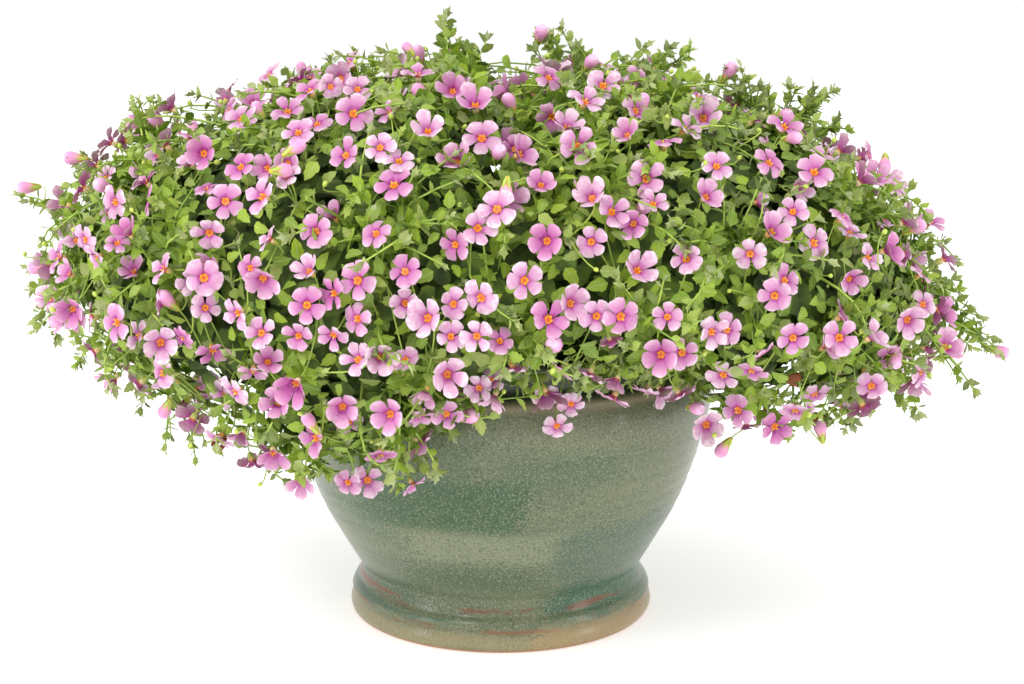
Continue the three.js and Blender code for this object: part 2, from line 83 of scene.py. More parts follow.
camera_data = bpy.data.cameras.new("camera")
camera_data.lens = LENS
camera_data.sensor_width = SENSOR
camera_data.shift_x = VIEW_SHIFT
camera = bpy.data.objects.new("camera", camera_data)
camera.location = EYE
camera.rotation_euler = (math.pi / 2 - EYE_PITCH, 0, 0)
bpy.context.scene.collection.objects.link(camera)
bpy.context.scene.camera = camera
print("camera at", tuple(EYE))

# %% [markdown]
# ## Floor and light
#
# The object stands in an even white surround on a lit white table, as in a light tent, so only a
# faint shadow stays at its foot. One large soft lamp from the upper left models the blooms, and
# two tall ones draw the gloss on the glaze.

# %% Floor, world and lamps
def link(obj):
    bpy.context.scene.collection.objects.link(obj)
    return obj


def node(tree, kind, settings=None, **inputs):
    """Adds one node. Settings are its own properties, and inputs are values or sockets by name."""
    made = tree.nodes.new(kind)
    for name, value in (settings or {}).items():
        setattr(made, name, value)
    for name, value in inputs.items():
        fill(tree, made.inputs[name.replace("_", " ")], value)
    return made


def fill(tree, socket, value):
    if isinstance(value, bpy.types.NodeSocket):
        tree.links.new(value, socket)
    else:
        socket.default_value = value


def srgb(code):
    """The linear colour of a six-digit code."""
    levels = [int(code[i:i + 2], 16) / 255 for i in (0, 2, 4)]
    return (*[((c + 0.055) / 1.055) ** 2.4 if c > 0.04045 else c / 12.92 for c in levels], 1.0)


def new_material(name):
    material = bpy.data.materials.new(name)
    material.use_nodes = True
    material.node_tree.nodes.clear()
    return material, material.node_tree


WORLD_STRENGTH = 1.02
FLOOR_SIDE = 14.0
TABLE_GLOW = 0.42

world = bpy.data.worlds.new("white_surround")
world.use_nodes = True
background = world.node_tree.nodes["Background"]
background.inputs["Color"].default_value = (1, 1, 1, 1)
background.inputs["Strength"].default_value = WORLD_STRENGTH
bpy.context.scene.world = world
bpy.context.scene.view_settings.view_transform = "Standard"

floor_material, tree = new_material("pale_floor")
shader = node(tree, "ShaderNodeBsdfPrincipled", Base_Color=(0.86, 0.86, 0.86, 1), Roughness=0.8,
              Emission_Color=(1, 1, 1, 1), Emission_Strength=TABLE_GLOW)
node(tree, "ShaderNodeOutputMaterial", Surface=shader.outputs[0])
bpy.ops.mesh.primitive_plane_add(size=FLOOR_SIDE)
floor = bpy.context.object
floor.name = "floor"
floor.data.materials.append(floor_material)


def soft_lamp(name, place, target, size, power):
    data = bpy.data.lights.new(name, "AREA")
    data.shape = "RECTANGLE"
    data.size, data.size_y = size
    data.energy = power
    lamp = link(bpy.data.objects.new(name, data))
    lamp.location = place
    lamp.rotation_euler = (Vector(target) - Vector(place)).to_track_quat("-Z", "Y").to_euler()


soft_lamp("key", (-0.8, -1.2, 1.6), (0, 0, 0.2), (0.6, 0.6), 17)
soft_lamp("gloss_left", (-1.5, -0.9, 0.5), (0, 0, 0.1), (0.35, 1.2), 6)
soft_lamp("gloss_right", (1.5, -0.7, 0.5), (0, 0, 0.1), (0.35, 1.2), 6)
print("lamps:", len(bpy.data.lights))

# %% [markdown]
# ## The dome that the plant fills
#
# The outer blooms and leaves of the real plant lie on one broad, uneven dome. A formula gives its
# surface from a compass bearing and an angle down from the crown, and a spiral with the golden
# angle spreads any number of places evenly over it. Both are the same as in the solids.

# %% Dome
# Lengths of the dome in millimetres, and angles in degrees
DOME_TOP = 304
CLEFT_DEPTH = 20
CLEFT_WIDTH = 17
CLEFT_PLACE = 7
CROWN_POWER = 0.8  # the lower, the flatter the crown
POLAR_END = 150
GOLDEN_ANGLE = 137.508

# By bearing from +X in degrees: reach of the dome, and the heights of its widest ring and of its
# lower edge, in millimetres, then how steeply it falls in above and below that ring
LOBES = [
    (-180, 243, 196, 150, 1.15, 0.6), (-152, 232, 192, 120, 0.98, 0.65),
    (-124, 212, 190, 100, 0.78, 0.6), (-110, 205, 190, 103, 0.75, 0.6),
    (-98, 200, 192, 140, 0.75, 0.6), (-80, 198, 192, 156, 0.75, 0.6),
    (-60, 204, 190, 150, 0.85, 0.6), (-42, 216, 182, 124, 1.0, 0.6),
    (-20, 232, 168, 122, 1.15, 0.5), (10, 246, 162, 126, 1.2, 0.5),
    (50, 226, 172, 122, 1.1, 0.6), (95, 220, 186, 116, 0.95, 0.6),
    (140, 224, 192, 130, 1.1, 0.6), (180, 243, 196, 150, 1.15, 0.6),
]


def mix(a, b, share):
    return a + (b - a) * share


def lobe_at(azimuth):
    turned = (azimuth + 180) % 360 - 180
    after = next(i for i, lobe in enumerate(LOBES) if lobe[0] > turned)
    low, high = LOBES[after - 1], LOBES[after]
    smooth = (1 - math.cos(math.pi * (turned - low[0]) / (high[0] - low[0]))) / 2
    return [mix(a, b, smooth) for a, b in zip(low[1:], high[1:])]


def dome_point(azimuth, polar):
    """A point on the dome, with a shallow cleft from front to back over the crown."""
    reach, waist, edge, shoulder, skirt = lobe_at(azimuth)
    angle, turn = math.radians(polar), math.radians(azimuth)
    radius = reach * math.sin(angle) ** (shoulder if polar < 90 else skirt)
    x, y = radius * math.cos(turn), radius * math.sin(turn)
    if polar < 90:
        rise = math.cos(angle) ** CROWN_POWER
        cleft = CLEFT_DEPTH * rise * math.exp(-((x - CLEFT_PLACE) / CLEFT_WIDTH) ** 2)
        height = mix(waist, DOME_TOP, rise) - cleft
    else:
        height = mix(waist, edge, math.cos(angle) / math.cos(math.radians(POLAR_END)))
    return Vector((x, y, height)) * MM


def dome_normal(azimuth, polar):
    if polar < 3:
        return UP.copy()
    along = dome_point(azimuth, polar + 2) - dome_point(azimuth, polar - 2)
    around = dome_point(azimuth + 2, polar) - dome_point(azimuth - 2, polar)
    return along.cross(around).normalized()


def spiral_place(k, count, offset):
    share = (k + 0.5) / count
    polar = math.degrees(math.acos(1 - share * (1 - math.cos(math.radians(POLAR_END)))))
    return k * GOLDEN_ANGLE + offset, polar


# %% Places that are even over the dome's real area
RING_STEP = 30
LEAST_POLAR = 2


def ring_area(polar):
    """How much of the dome one degree of polar angle takes, up to a constant."""
    total = 0
    for azimuth in range(-180, 180, RING_STEP):
        down = dome_point(azimuth, polar + 0.5) - dome_point(azimuth, polar - 0.5)
        round_it = dome_point(azimuth + 1, polar) - dome_point(azimuth - 1, polar)
        total += down.cross(round_it).length
    return total


area_below = [0.0]
for degree in range(1, POLAR_END):
    area_below.append(area_below[-1] + ring_area(degree))


def even_place(k, count, offset):
    """Place number k of count, on a spiral that gives every part of the dome its share."""
    wanted = (k + 0.5) / count * area_below[-1]
    degree = bisect.bisect(area_below, wanted)
    inner, outer = area_below[degree - 1], area_below[degree]
    share = (wanted - inner) / (outer - inner)
    return k * GOLDEN_ANGLE + offset, max(degree - 1 + share, LEAST_POLAR)


# %% [markdown]
# ## The shoots
#
# Each of the forty shoots rises from its own hole in the mix and bends over to its own part of the
# dome. The same two formulas as in the solids give its root, its path and the middle of its crown,
# so that the fine pieces stand where the plain ones do.

# %% Shoots
SHOOT_COUNT = 40
FIRST_BEARING = -96
ROOT_DISC = 86 * MM
SOIL_CROWN = 150 * MM
SOIL_EDGE = 145 * MM
SOIL_RIM = 0.1
HOLE_DEPTH = 22 * MM
CORE_DEPTH = 36 * MM
LOW_CORE_DEPTH = 31 * MM
LOW_POLAR = 110  # degrees from the crown, past which the cores lie nearer the surface
CORE_RADIUS = 26 * MM
CORE_FLATNESS = 0.66

# How a stem bends: its rise out of the mix, and how far its two control points are pulled outward
RISE_SHARES = (0.55, 0.62)
RISE_EXTRA = 12 * MM
LEAST_CROWN = 190 * MM
LOWER_PULL = 0.12
UPPER_PULL = 0.42
UPPER_DROP = 8 * MM
UPPER_LEVEL = 176 * MM
UPPER_SLOPE = 0.12

# The first shoots stand in the middle, in a left and a right group. The others go by sectors
MIDDLE_SHOOTS = 8
SECTOR = 45
SECTOR_COUNT = 360 // SECTOR


def soil_height(radius):
    return mix(SOIL_CROWN, SOIL_EDGE, (radius / SOIL_RIM) ** 2)


def bezier(points, t):
    """A point on the curve that the control points pull, by repeated mixing."""
    while len(points) > 1:
        points = [a.lerp(b, t) for a, b in zip(points, points[1:])]
    return points[0]


def make_shoot(k):
    azimuth, polar = spiral_place(k, SHOOT_COUNT, FIRST_BEARING)
    surface, normal = dome_point(azimuth, polar), dome_normal(azimuth, polar)
    core = surface - normal * (CORE_DEPTH if polar < LOW_POLAR else LOW_CORE_DEPTH)
    turn = math.radians(azimuth)
    outward = Vector((math.cos(turn), math.sin(turn), 0))
    root_radius = ROOT_DISC * math.sqrt((k + 0.5) / SHOOT_COUNT)
    root = outward * root_radius + UP * soil_height(root_radius)
    across = (core - root).dot(outward)
    rise = mix(*RISE_SHARES, polar / POLAR_END) * (max(core.z, LEAST_CROWN) - root.z) + RISE_EXTRA
    lower = root + UP * rise + outward * LOWER_PULL * across
    upper = core - outward * UPPER_PULL * across
    upper.z = max(core.z - UPPER_DROP, UPPER_LEVEL + UPPER_SLOPE * core.z)
    sector = int(((azimuth + 180) % 360) // SECTOR)
    group = SECTOR_COUNT + (math.cos(turn) > 0) if k < MIDDLE_SHOOTS else sector
    return {"name": f"shoot_{k + 1:02d}", "surface": surface, "normal": normal, "core": core,
            "path": [root, lower, upper, core], "group": group}


shoots = [make_shoot(k) for k in range(SHOOT_COUNT)]
GROUPS = sorted({shoot["group"] for shoot in shoots})
shoot_tree = kdtree.KDTree(SHOOT_COUNT)
for index, shoot in enumerate(shoots):
    shoot_tree.insert(shoot["surface"], index)
shoot_tree.balance()


def nearest_shoot(point):
    return shoots[shoot_tree.find(point)[1]]


print(len(shoots), "shoots in", len(GROUPS), "groups")

# %% [markdown]
# ## Mesh helpers
#
# A pattern is one small closed mesh, such as a leaf, that is repeated hundreds of times. Its points
# carry attributes, and these tell the material where on the leaf or petal it is.

# %% Mesh helpers
CREASE = 1.3  # radians between two faces from which their edge is drawn sharp


def mesh_object(name, points, faces, **attributes):
    """A mesh object, sharp only at its rims, with a float attribute on its points for each list."""
    mesh = bpy.data.meshes.new(name)
    mesh.from_pydata([tuple(p) for p in points], [], faces, shade_flat=False)
    for key, values in attributes.items():
        mesh.attributes.new(key, "FLOAT", "POINT").data.foreach_set("value", values)
    shape = bmesh.new()
    shape.from_mesh(mesh)
    bmesh.ops.recalc_face_normals(shape, faces=shape.faces)
    shape.to_mesh(mesh)
    shape.free()
    mesh.set_sharp_from_angle(angle=CREASE)
    return bpy.data.objects.new(name, mesh)


def zip_strip(rim, spine, along):
    """Triangles between a rim and a spine: each part of the rim joins the nearest spine point."""
    faces, j = [], 0
    for a, b in zip(rim, rim[1:]):
        middle = (along[a] + along[b]) / 2
        while j < len(spine) - 1 and middle > (along[spine[j]] + along[spine[j + 1]]) / 2:
            faces.append((a, spine[j + 1], spine[j]))
            j += 1
        faces.append((a, b, spine[j]))
    return faces


class Pattern:
    """Collects the points and faces of one repeated piece."""

    def __init__(self):
        self.points, self.faces, self.kinds = [], [], []
        self.along, self.rib = [], []

    def point(self, place, along=0.0, rib=0.0):
        self.points.append(Vector(place))
        self.along.append(along)
        self.rib.append(rib)
        return len(self.points) - 1

    def add(self, faces, kind=0):
        self.faces += faces
        self.kinds += [kind] * len(faces)

    def finish(self, name):
        obj = mesh_object(name, self.points, self.faces, along=self.along, rib=self.rib)
        obj.data.attributes.new("kind", "FLOAT", "FACE").data.foreach_set("value", self.kinds)
        return obj


# %% [markdown]
# ## Leaves
#
# A bacopa leaf is a small wedge to oval blade with a few coarse teeth. Each pattern is a thin lens:
# an upper and a lower sheet that share one toothed edge and part along the midrib. The blade is
# folded a little along the rib and curls down towards its tip.

# %% Leaf patterns
# Points of the right edge from stalk to tip, as shares of the leaf's length
WEDGE_EDGE = [(0.1, 0.05), (0.28, 0.21), (0.38, 0.33), (0.43, 0.26), (0.58, 0.35), (0.63, 0.24),
              (0.8, 0.24), (0.84, 0.13)]
OVAL_EDGE = [(0.08, 0.06), (0.2, 0.25), (0.28, 0.24), (0.37, 0.34), (0.43, 0.27), (0.6, 0.31),
             (0.65, 0.2), (0.82, 0.17)]
BROAD_EDGE = [(0.06, 0.08), (0.18, 0.3), (0.25, 0.28), (0.38, 0.41), (0.44, 0.33), (0.6, 0.37),
              (0.65, 0.26), (0.81, 0.2)]
TINY_EDGE = [(0.25, 0.23), (0.4, 0.17), (0.58, 0.28), (0.68, 0.12)]
PLAIN_EDGE = [(0.2, 0.27), (0.42, 0.33), (0.49, 0.26), (0.74, 0.22)]
LEAF_LIFT = 0.015  # of each sheet from the leaf's middle, along its midrib


def leaf_pattern(name, edge, ribs, fold, curl):
    """A leaf one unit long, along +Y, with its face to +Z."""
    leaf = Pattern()

    def place(along, sideways, lift=0.0):
        height = fold * abs(sideways) - curl * along * along + lift
        return Vector((sideways, along, height))

    base = leaf.point(place(0, 0), 0, 0)
    tip = leaf.point(place(1, 0), 1, 0)
    sheets = [[leaf.point(place(y, 0, lift), y, 0) for y in ribs] for lift in (LEAF_LIFT, -LEAF_LIFT)]
    for side in (1, -1):
        rim = [leaf.point(place(y, side * x), y, side) for y, x in edge]
        for sheet in sheets:
            leaf.add(zip_strip([base, *rim, tip], sheet, leaf.along))
    return leaf.finish(name)


LEAVES = bpy.data.collections.new("leaf_patterns")
for obj in (
    leaf_pattern("leaf_0_wedge", WEDGE_EDGE, (0.3, 0.6), 0.22, 0.16),
    leaf_pattern("leaf_1_oval", OVAL_EDGE, (0.3, 0.6), 0.3, 0.24),
    leaf_pattern("leaf_2_broad", BROAD_EDGE, (0.3, 0.6), 0.12, 0.1),
    leaf_pattern("leaf_3_tiny", TINY_EDGE, (0.5,), 0.35, 0.05),
    leaf_pattern("leaf_4_plain", PLAIN_EDGE, (0.5,), 0.25, 0.2),
):
    LEAVES.objects.link(obj)
    print(obj.name, len(obj.data.polygons), "triangles")

# %% [markdown]
# ## Blooms
#
# Five broad petals grow from a short tube, two above and three below, none quite alike. Each petal
# is a grid of quads that narrows into the throat, spreads, and rounds off at the rim, with a
# second grid under it that shares its edge. Four stout anthers stand in the orange throat.

# %% Bloom patterns
# Rows of a petal from throat to rim: share of its length, and half its width there
PETAL_ROWS = [(0.0, 0.1), (0.25, 0.24), (0.54, 0.375), (0.83, 0.415), (1.0, 0.27)]
PETAL_COLUMNS = (-1.0, -0.4, 0.4, 1.0)
THROAT_RADIUS = 0.13
THROAT_DEPTH = 0.2
THROAT_END = 0.24
RIM_ROUNDING = 0.07
DROOP = 0.05
PETAL_LIFT = 0.012
GOLD, GREEN, TUBE = 1, 2, 3  # kinds of face, besides the petals' own 0


def add_petal(bloom, turn, length, width, cup, tilt, ruffle):
    """One petal as a closed lens, its base in the throat and its rim one unit out."""
    spin = Matrix.Rotation(turn, 3, "Z")

    def place(u, half, v, lift):
        reach = length * mix(THROAT_RADIUS, 1, u) - RIM_ROUNDING * v * v * u ** 3
        side = v * half * width
        height = -THROAT_DEPTH * (1 - min(u / THROAT_END, 1)) + cup * max(u - 0.2, 0) ** 1.5 + tilt * u
        wave = math.sin(3.1 * v + 5 * u + 7 * turn)
        height += ruffle * wave * u - DROOP * v * v * u - DROOP * u ** 4
        return spin @ Vector((reach, side, height + lift))

    sheets = []
    last_row, last_column = len(PETAL_ROWS) - 1, len(PETAL_COLUMNS) - 1
    for sheet in (0, 1):
        grid = []
        for i, (u, half) in enumerate(PETAL_ROWS):
            row = []
            for j, v in enumerate(PETAL_COLUMNS):
                edge = i in (0, last_row) or j in (0, last_column)
                if edge and sheet:
                    row.append(sheets[0][i][j])
                    continue
                lift = 0 if edge else PETAL_LIFT * (1 if sheet == 0 else -1)
                row.append(bloom.point(place(u, half, v, lift), mix(THROAT_RADIUS, 1, u), v))
            grid.append(row)
        sheets.append(grid)
        for i in range(last_row):
            for j in range(last_column):
                quad = (grid[i][j], grid[i + 1][j], grid[i + 1][j + 1], grid[i][j + 1])
                bloom.add([quad])


def add_rings(pattern, rings, sides, kind):
    """A closed round shape from rings of (radius, height, along), with a point at both ends."""
    rows = []
    for radius, height, along in rings[1:-1]:
        turns = [2 * math.pi * s / sides for s in range(sides)]
        rows.append([pattern.point((radius * math.cos(a), radius * math.sin(a), height), along)
                     for a in turns])
    bottom = pattern.point((0, 0, rings[0][1]), rings[0][2])
    top = pattern.point((0, 0, rings[-1][1]), rings[-1][2])
    for s in range(sides):
        t = (s + 1) % sides
        pattern.add([(bottom, rows[0][t], rows[0][s]), (top, rows[-1][s], rows[-1][t])], kind)
        for low, high in zip(rows, rows[1:]):
            pattern.add([(low[s], low[t], high[t], high[s])], kind)


def add_blade(pattern, start, end, side, width, kind, along=0.0):
    """A narrow pointed sepal or anther: eight triangles round a spine."""
    middle = start.lerp(end, 0.4)
    deep = (end - start).cross(side).normalized() * width * 0.35
    ring = [pattern.point(middle + offset, along)
            for offset in (-side * width, deep, side * width, -deep)]
    a, b = pattern.point(start, along), pattern.point(end, along)
    for i in range(4):
        j = (i + 1) % 4
        pattern.add([(a, ring[i], ring[j]), (b, ring[j], ring[i])], kind)


def bloom_pattern(name, seed, cup, unevenness, ruffle, fold=0.0):
    """A bloom one unit in radius, looking along +Z."""
    draw = random.Random(seed)
    bloom = Pattern()
    for petal in range(5):
        turn = math.radians(90 + 36 + 72 * petal + draw.uniform(-7, 7) * unevenness)
        length = 1 + draw.uniform(-0.14, 0.06) * unevenness
        width = 1 + draw.uniform(-0.16, 0.1) * unevenness
        tilt = draw.uniform(-0.1, 0.22) * unevenness + fold
        add_petal(bloom, turn, length, width, cup, tilt, ruffle)
    add_rings(bloom, [(0, -0.3, 0.1), (0.21, -0.12, 0.1), (0, -0.16, 0.0)], 8, GOLD)
    for anther in range(4):
        turn = math.radians(45 + 90 * anther)
        lean = Vector((math.cos(turn), math.sin(turn), 0))
        foot, head = lean * 0.1 + UP * -0.12, lean * 0.2 + UP * 0.06
        add_blade(bloom, foot, head, UP.cross(lean), 0.055, GOLD, 0.2)
    tube = [(0, -0.66, 0), (0.09, -0.62, 0), (0.17, -0.34, 0), (0.15, -0.2, 0), (0, -0.22, 0)]
    add_rings(bloom, tube, 6, TUBE)
    for sepal in range(5):
        turn = math.radians(72 * sepal)
        lean = Vector((math.cos(turn), math.sin(turn), 0))
        foot, head = lean * 0.06 + UP * -0.7, lean * 0.27 + UP * -0.26
        add_blade(bloom, foot, head, UP.cross(lean), 0.08, GREEN)
    return bloom.finish(name)


BLOOMS = bpy.data.collections.new("bloom_patterns")
for obj in (
    bloom_pattern("bloom_0_open", 11, 0.06, 0.9, 0.04),
    bloom_pattern("bloom_1_uneven", 12, 0.1, 1.6, 0.07),
    bloom_pattern("bloom_2_swept", 13, -0.18, 1.2, 0.06),
    bloom_pattern("bloom_3_cupped", 14, 0.35, 1.2, 0.05, 0.25),
    bloom_pattern("bloom_4_half_open", 15, 0.55, 0.8, 0.02, 0.45),
    bloom_pattern("bloom_5_wilted", 16, 0.9, 2.2, 0.14, 0.8),
):
    BLOOMS.objects.link(obj)
    print(obj.name, len(obj.data.polygons), "faces")


def bud_pattern(name, rings, sides, sepals):
    """A closed bud one unit wide, looking along +Z, in its calyx."""
    bud = Pattern()
    add_rings(bud, rings, sides, 0)
    low, middle = rings[0][1], rings[len(rings) // 2][1]
    for sepal in range(sepals):
        turn = math.radians(72 * sepal)
        lean = Vector((math.cos(turn), math.sin(turn), 0))
        foot, head = lean * 0.1 + UP * (low - 0.05), lean * 0.4 + UP * mix(low, middle, 0.8)
        add_blade(bud, foot, head, UP.cross(lean), 0.13, GREEN)
    return bud.finish(name)


# A balloon bud is a tulip: a yellow tube that swells to a pink bell with folded tips
BALLOON_RINGS = [(0, -1.1, 0), (0.15, -1.05, 0.1), (0.19, -0.7, 0.2), (0.36, -0.36, 0.5),
                 (0.47, 0, 0.7), (0.43, 0.36, 0.85), (0.24, 0.56, 1), (0, 0.44, 1)]
SMALL_RINGS = [(0, -0.6, 0.6), (0.34, -0.45, 0.6), (0.5, -0.05, 0.6), (0.38, 0.35, 0.6),
               (0, 0.6, 0.6)]

BUDS = bpy.data.collections.new("bud_patterns")
for obj in (
    bud_pattern("bud_0_balloon", BALLOON_RINGS, 8, 5),
    bud_pattern("bud_1_small", SMALL_RINGS, 5, 0),
):
    BUDS.objects.link(obj)
    print(obj.name, len(obj.data.polygons), "faces")

# %% [markdown]
# ## Copies on points, and tubes on paths
#
# Thousands of leaves are too many to place by hand or to keep as objects. Geometry Nodes puts a
# pattern on each point of a cloud, turned by two directions that the point carries, and another
# tree runs a round tube along every path. Both end in plain faces with their material set.

# %% Node trees
def new_tree(name, inputs):
    """A Geometry Nodes tree with one geometry in and out, and named inputs for its sizes."""
    tree = bpy.data.node_groups.new(name, "GeometryNodeTree")
    tree.interface.new_socket("Geometry", in_out="INPUT", socket_type="NodeSocketGeometry")
    tree.interface.new_socket("Geometry", in_out="OUTPUT", socket_type="NodeSocketGeometry")
    for label, kind in inputs.items():
        tree.interface.new_socket(label, in_out="INPUT", socket_type="NodeSocket" + kind)
    return tree, node(tree, "NodeGroupInput").outputs


def named(tree, name, kind="FLOAT"):
    return node(tree, "GeometryNodeInputNamedAttribute", {"data_type": kind}, Name=name).outputs[0]


def end_tree(tree, geometry, materials):
    """Set Material for each kind of face, and the tree's output."""
    for kind, material in enumerate(materials):
        settings = {"data_type": "FLOAT", "operation": "EQUAL"}
        compare = node(tree, "FunctionNodeCompare", settings, A=named(tree, "kind"), B=float(kind))
        geometry = node(tree, "GeometryNodeSetMaterial", Geometry=geometry, Material=material,
                        Selection=compare.outputs[0]).outputs[0]
    node(tree, "NodeGroupOutput", Geometry=geometry)


def copies_tree(name, materials):
    """One copy of a pattern on each point: heading is its +Y and face is its +Z."""
    tree, given = new_tree(name, {"Patterns": "Collection", "Size": "Float"})
    patterns = node(tree, "GeometryNodeCollectionInfo", Collection=given["Patterns"],
                    Separate_Children=True, Reset_Children=True)
    turn = node(tree, "FunctionNodeAxesToRotation", {"primary_axis": "Y", "secondary_axis": "Z"},
                Primary_Axis=named(tree, "heading", "FLOAT_VECTOR"),
                Secondary_Axis=named(tree, "face", "FLOAT_VECTOR"))
    size = node(tree, "ShaderNodeMath", {"operation": "MULTIPLY"})
    fill(tree, size.inputs[0], named(tree, "size"))
    fill(tree, size.inputs[1], given["Size"])
    copies = node(tree, "GeometryNodeInstanceOnPoints", Points=given["Geometry"],
                  Instance=patterns.outputs[0], Pick_Instance=True,
                  Instance_Index=named(tree, "pick", "INT"), Rotation=turn.outputs[0],
                  Scale=size.outputs[0])
    faces = node(tree, "GeometryNodeRealizeInstances", Geometry=copies.outputs[0])
    end_tree(tree, faces.outputs[0], materials)
    return tree


def tubes_tree(name, material):
    """A round tube along each path, as thick as the thickness of its points."""
    tree, given = new_tree(name, {"Sides": "Int", "Width": "Float"})
    paths = node(tree, "GeometryNodeMeshToCurve", Mesh=given["Geometry"])
    ring = node(tree, "GeometryNodeCurvePrimitiveCircle", Resolution=given["Sides"],
                Radius=given["Width"])
    tubes = node(tree, "GeometryNodeCurveToMesh", Curve=paths.outputs[0],
                 Profile_Curve=ring.outputs[0], Scale=named(tree, "thickness"), Fill_Caps=True)
    faces = node(tree, "GeometryNodeRealizeInstances", Geometry=tubes.outputs[0])
    smooth = node(tree, "GeometryNodeSetShadeSmooth", Geometry=faces.outputs[0], Shade_Smooth=True)
    done = node(tree, "GeometryNodeSetMaterial", Geometry=smooth.outputs[0], Material=material)
    node(tree, "NodeGroupOutput", Geometry=done.outputs[0])
    return tree


def made_plain(obj, tree, **values):
    """Runs a tree on an object and keeps the faces that it gives, with no modifier left."""
    modifier = obj.modifiers.new(tree.name, "NODES")
    modifier.node_group = tree
    for item in tree.interface.items_tree:
        if item.in_out == "INPUT" and item.name in values:
            modifier[item.identifier] = values[item.name]
    graph = bpy.context.evaluated_depsgraph_get()
    mesh = bpy.data.meshes.new_from_object(
        obj.evaluated_get(graph), preserve_all_data_layers=True, depsgraph=graph)
    obj.modifiers.remove(modifier)
    obj.data = mesh
    return obj


# %% [markdown]
# ## Plant materials
#
# Leaves go from grey-green and downy at the tips to dark inside the plant, and that dark inside is
# painted shade. Petals are painted by how far out a point is: an orange throat, a magenta halo,
# lilac-pink, and a pale rim.

# %% Material helpers
def attribute(tree, name):
    return node(tree, "ShaderNodeAttribute", {"attribute_name": name}).outputs["Fac"]


def math_node(tree, operation, a, b=0.0, c=0.0):
    made = node(tree, "ShaderNodeMath", {"operation": operation})
    for socket, value in zip(made.inputs, (a, b, c)):
        fill(tree, socket, value)
    return made.outputs[0]


def between(tree, value, low, high, to_low=0.0, to_high=1.0):
    """Maps a value from one range to another, smoothly and clamped."""
    return node(tree, "ShaderNodeMapRange", {"interpolation_type": "SMOOTHSTEP"}, Value=value,
                From_Min=low, From_Max=high, To_Min=to_low, To_Max=to_high).outputs[0]


def mixed(tree, share, a, b):
    made = node(tree, "ShaderNodeMix", {"data_type": "RGBA"})
    for index, value in ((0, share), (6, a), (7, b)):
        fill(tree, made.inputs[index], value)
    return made.outputs[2]


def ramp(tree, value, stops):
    """A colour ramp from (position, six-digit code) pairs."""
    made = node(tree, "ShaderNodeValToRGB", Fac=value)
    elements = made.color_ramp.elements
    while len(elements) < len(stops):
        elements.new(0.5)
    for element, (position, code) in zip(elements, stops):
        element.position = position
        element.color = srgb(code)
    return made.outputs[0]


def noise_node(tree, scale, detail=2.0, stretch=(1, 1, 1), roughness=0.5):
    place = node(tree, "ShaderNodeTexCoord").outputs["Object"]
    mapping = node(tree, "ShaderNodeMapping", Vector=place, Scale=stretch)
    return node(tree, "ShaderNodeTexNoise", Vector=mapping.outputs[0], Scale=scale, Detail=detail,
                Roughness=roughness).outputs[0]


def surface(tree, colour, roughness, bump=None, strength=0.3, distance=0.0005, through=0.0, **more):
    """A Principled surface, with some light let through where the piece is thin."""
    shader = node(tree, "ShaderNodeBsdfPrincipled", Base_Color=colour, Roughness=roughness, **more)
    if bump is not None:
        relief = node(tree, "ShaderNodeBump", Height=bump, Strength=strength, Distance=distance)
        fill(tree, shader.inputs["Normal"], relief.outputs[0])
    result = shader.outputs[0]
    if through:
        thin = node(tree, "ShaderNodeBsdfTranslucent", Color=colour)
        both = node(tree, "ShaderNodeMixShader", Fac=through)
        fill(tree, both.inputs[1], result)
        fill(tree, both.inputs[2], thin.outputs[0])
        result = both.outputs[0]
    node(tree, "ShaderNodeOutputMaterial", Surface=result)


# %% Leaf and stem materials
def leaf_material(name, stops, through):
    material, tree = new_material(name)
    age, tone = attribute(tree, "age"), attribute(tree, "tone")
    along, rib = attribute(tree, "along"), attribute(tree, "rib")
    base = ramp(tree, age, stops)
    sunny = mixed(tree, between(tree, tone, 0.45, 1.0, 0.0, 0.75), base, srgb("B4CF2E"))
    shade = mixed(tree, between(tree, tone, 0.5, 0.0, 0.0, 0.5), sunny, srgb("557729"))
    mottle = mixed(tree, between(tree, noise_node(tree, 260), 0.35, 0.7, 0.0, 0.25), shade,
                   srgb("6E9A30"))
    side_rib = math_node(tree, "ADD", math_node(tree, "MULTIPLY", along, 34.0),
                         math_node(tree, "MULTIPLY", math_node(tree, "ABSOLUTE", rib), -9.0))
    vein = between(tree, math_node(tree, "SINE", side_rib), 0.75, 1.0)
    mid = between(tree, math_node(tree, "ABSOLUTE", rib), 0.16, 0.02)
    veins = math_node(tree, "MAXIMUM", math_node(tree, "MULTIPLY", vein, 0.35), mid)
    veined = mixed(tree, math_node(tree, "MULTIPLY", veins, 0.45), mottle, srgb("C9DB92"))
    surface(tree, veined, 0.5, noise_node(tree, 900, 3), 0.6, 0.0006, through, Sheen_Weight=0.08)
    return material


LEAF = leaf_material("leaf_green", [(0.0, "D2D7A8"), (0.2, "C4CF78"), (0.45, "ACC842"),
                                    (0.75, "96B834"), (1.0, "7DA02C")], 0.34)

# Painted shade: the old leaves deep inside the plant, and the clumps, get a dark green for the shade
# they lie in.
OLD_LEAF_PAINTED_SHADE, tree = new_material("old_leaf_painted_shade")
faint = ramp(tree, noise_node(tree, 90, 2), [(0.3, "2C3A10"), (0.5, "4A6219"), (0.7, "728C2B")])
surface(tree, faint, 0.7)

# The stems are mixed towards a dark olive as far as their age attribute says: the main stems from the
# soil 0.6 of the way, twigs and stalks not at all.
STEM, tree = new_material("stem_green")
pale = mixed(tree, attribute(tree, "tone"), srgb("B2C956"), srgb("7F9F3C"))
dark = mixed(tree, attribute(tree, "age"), pale, srgb("2C3A1A"))
surface(tree, dark, 0.45, noise_node(tree, 1200, 2), 0.2, 0.0003)

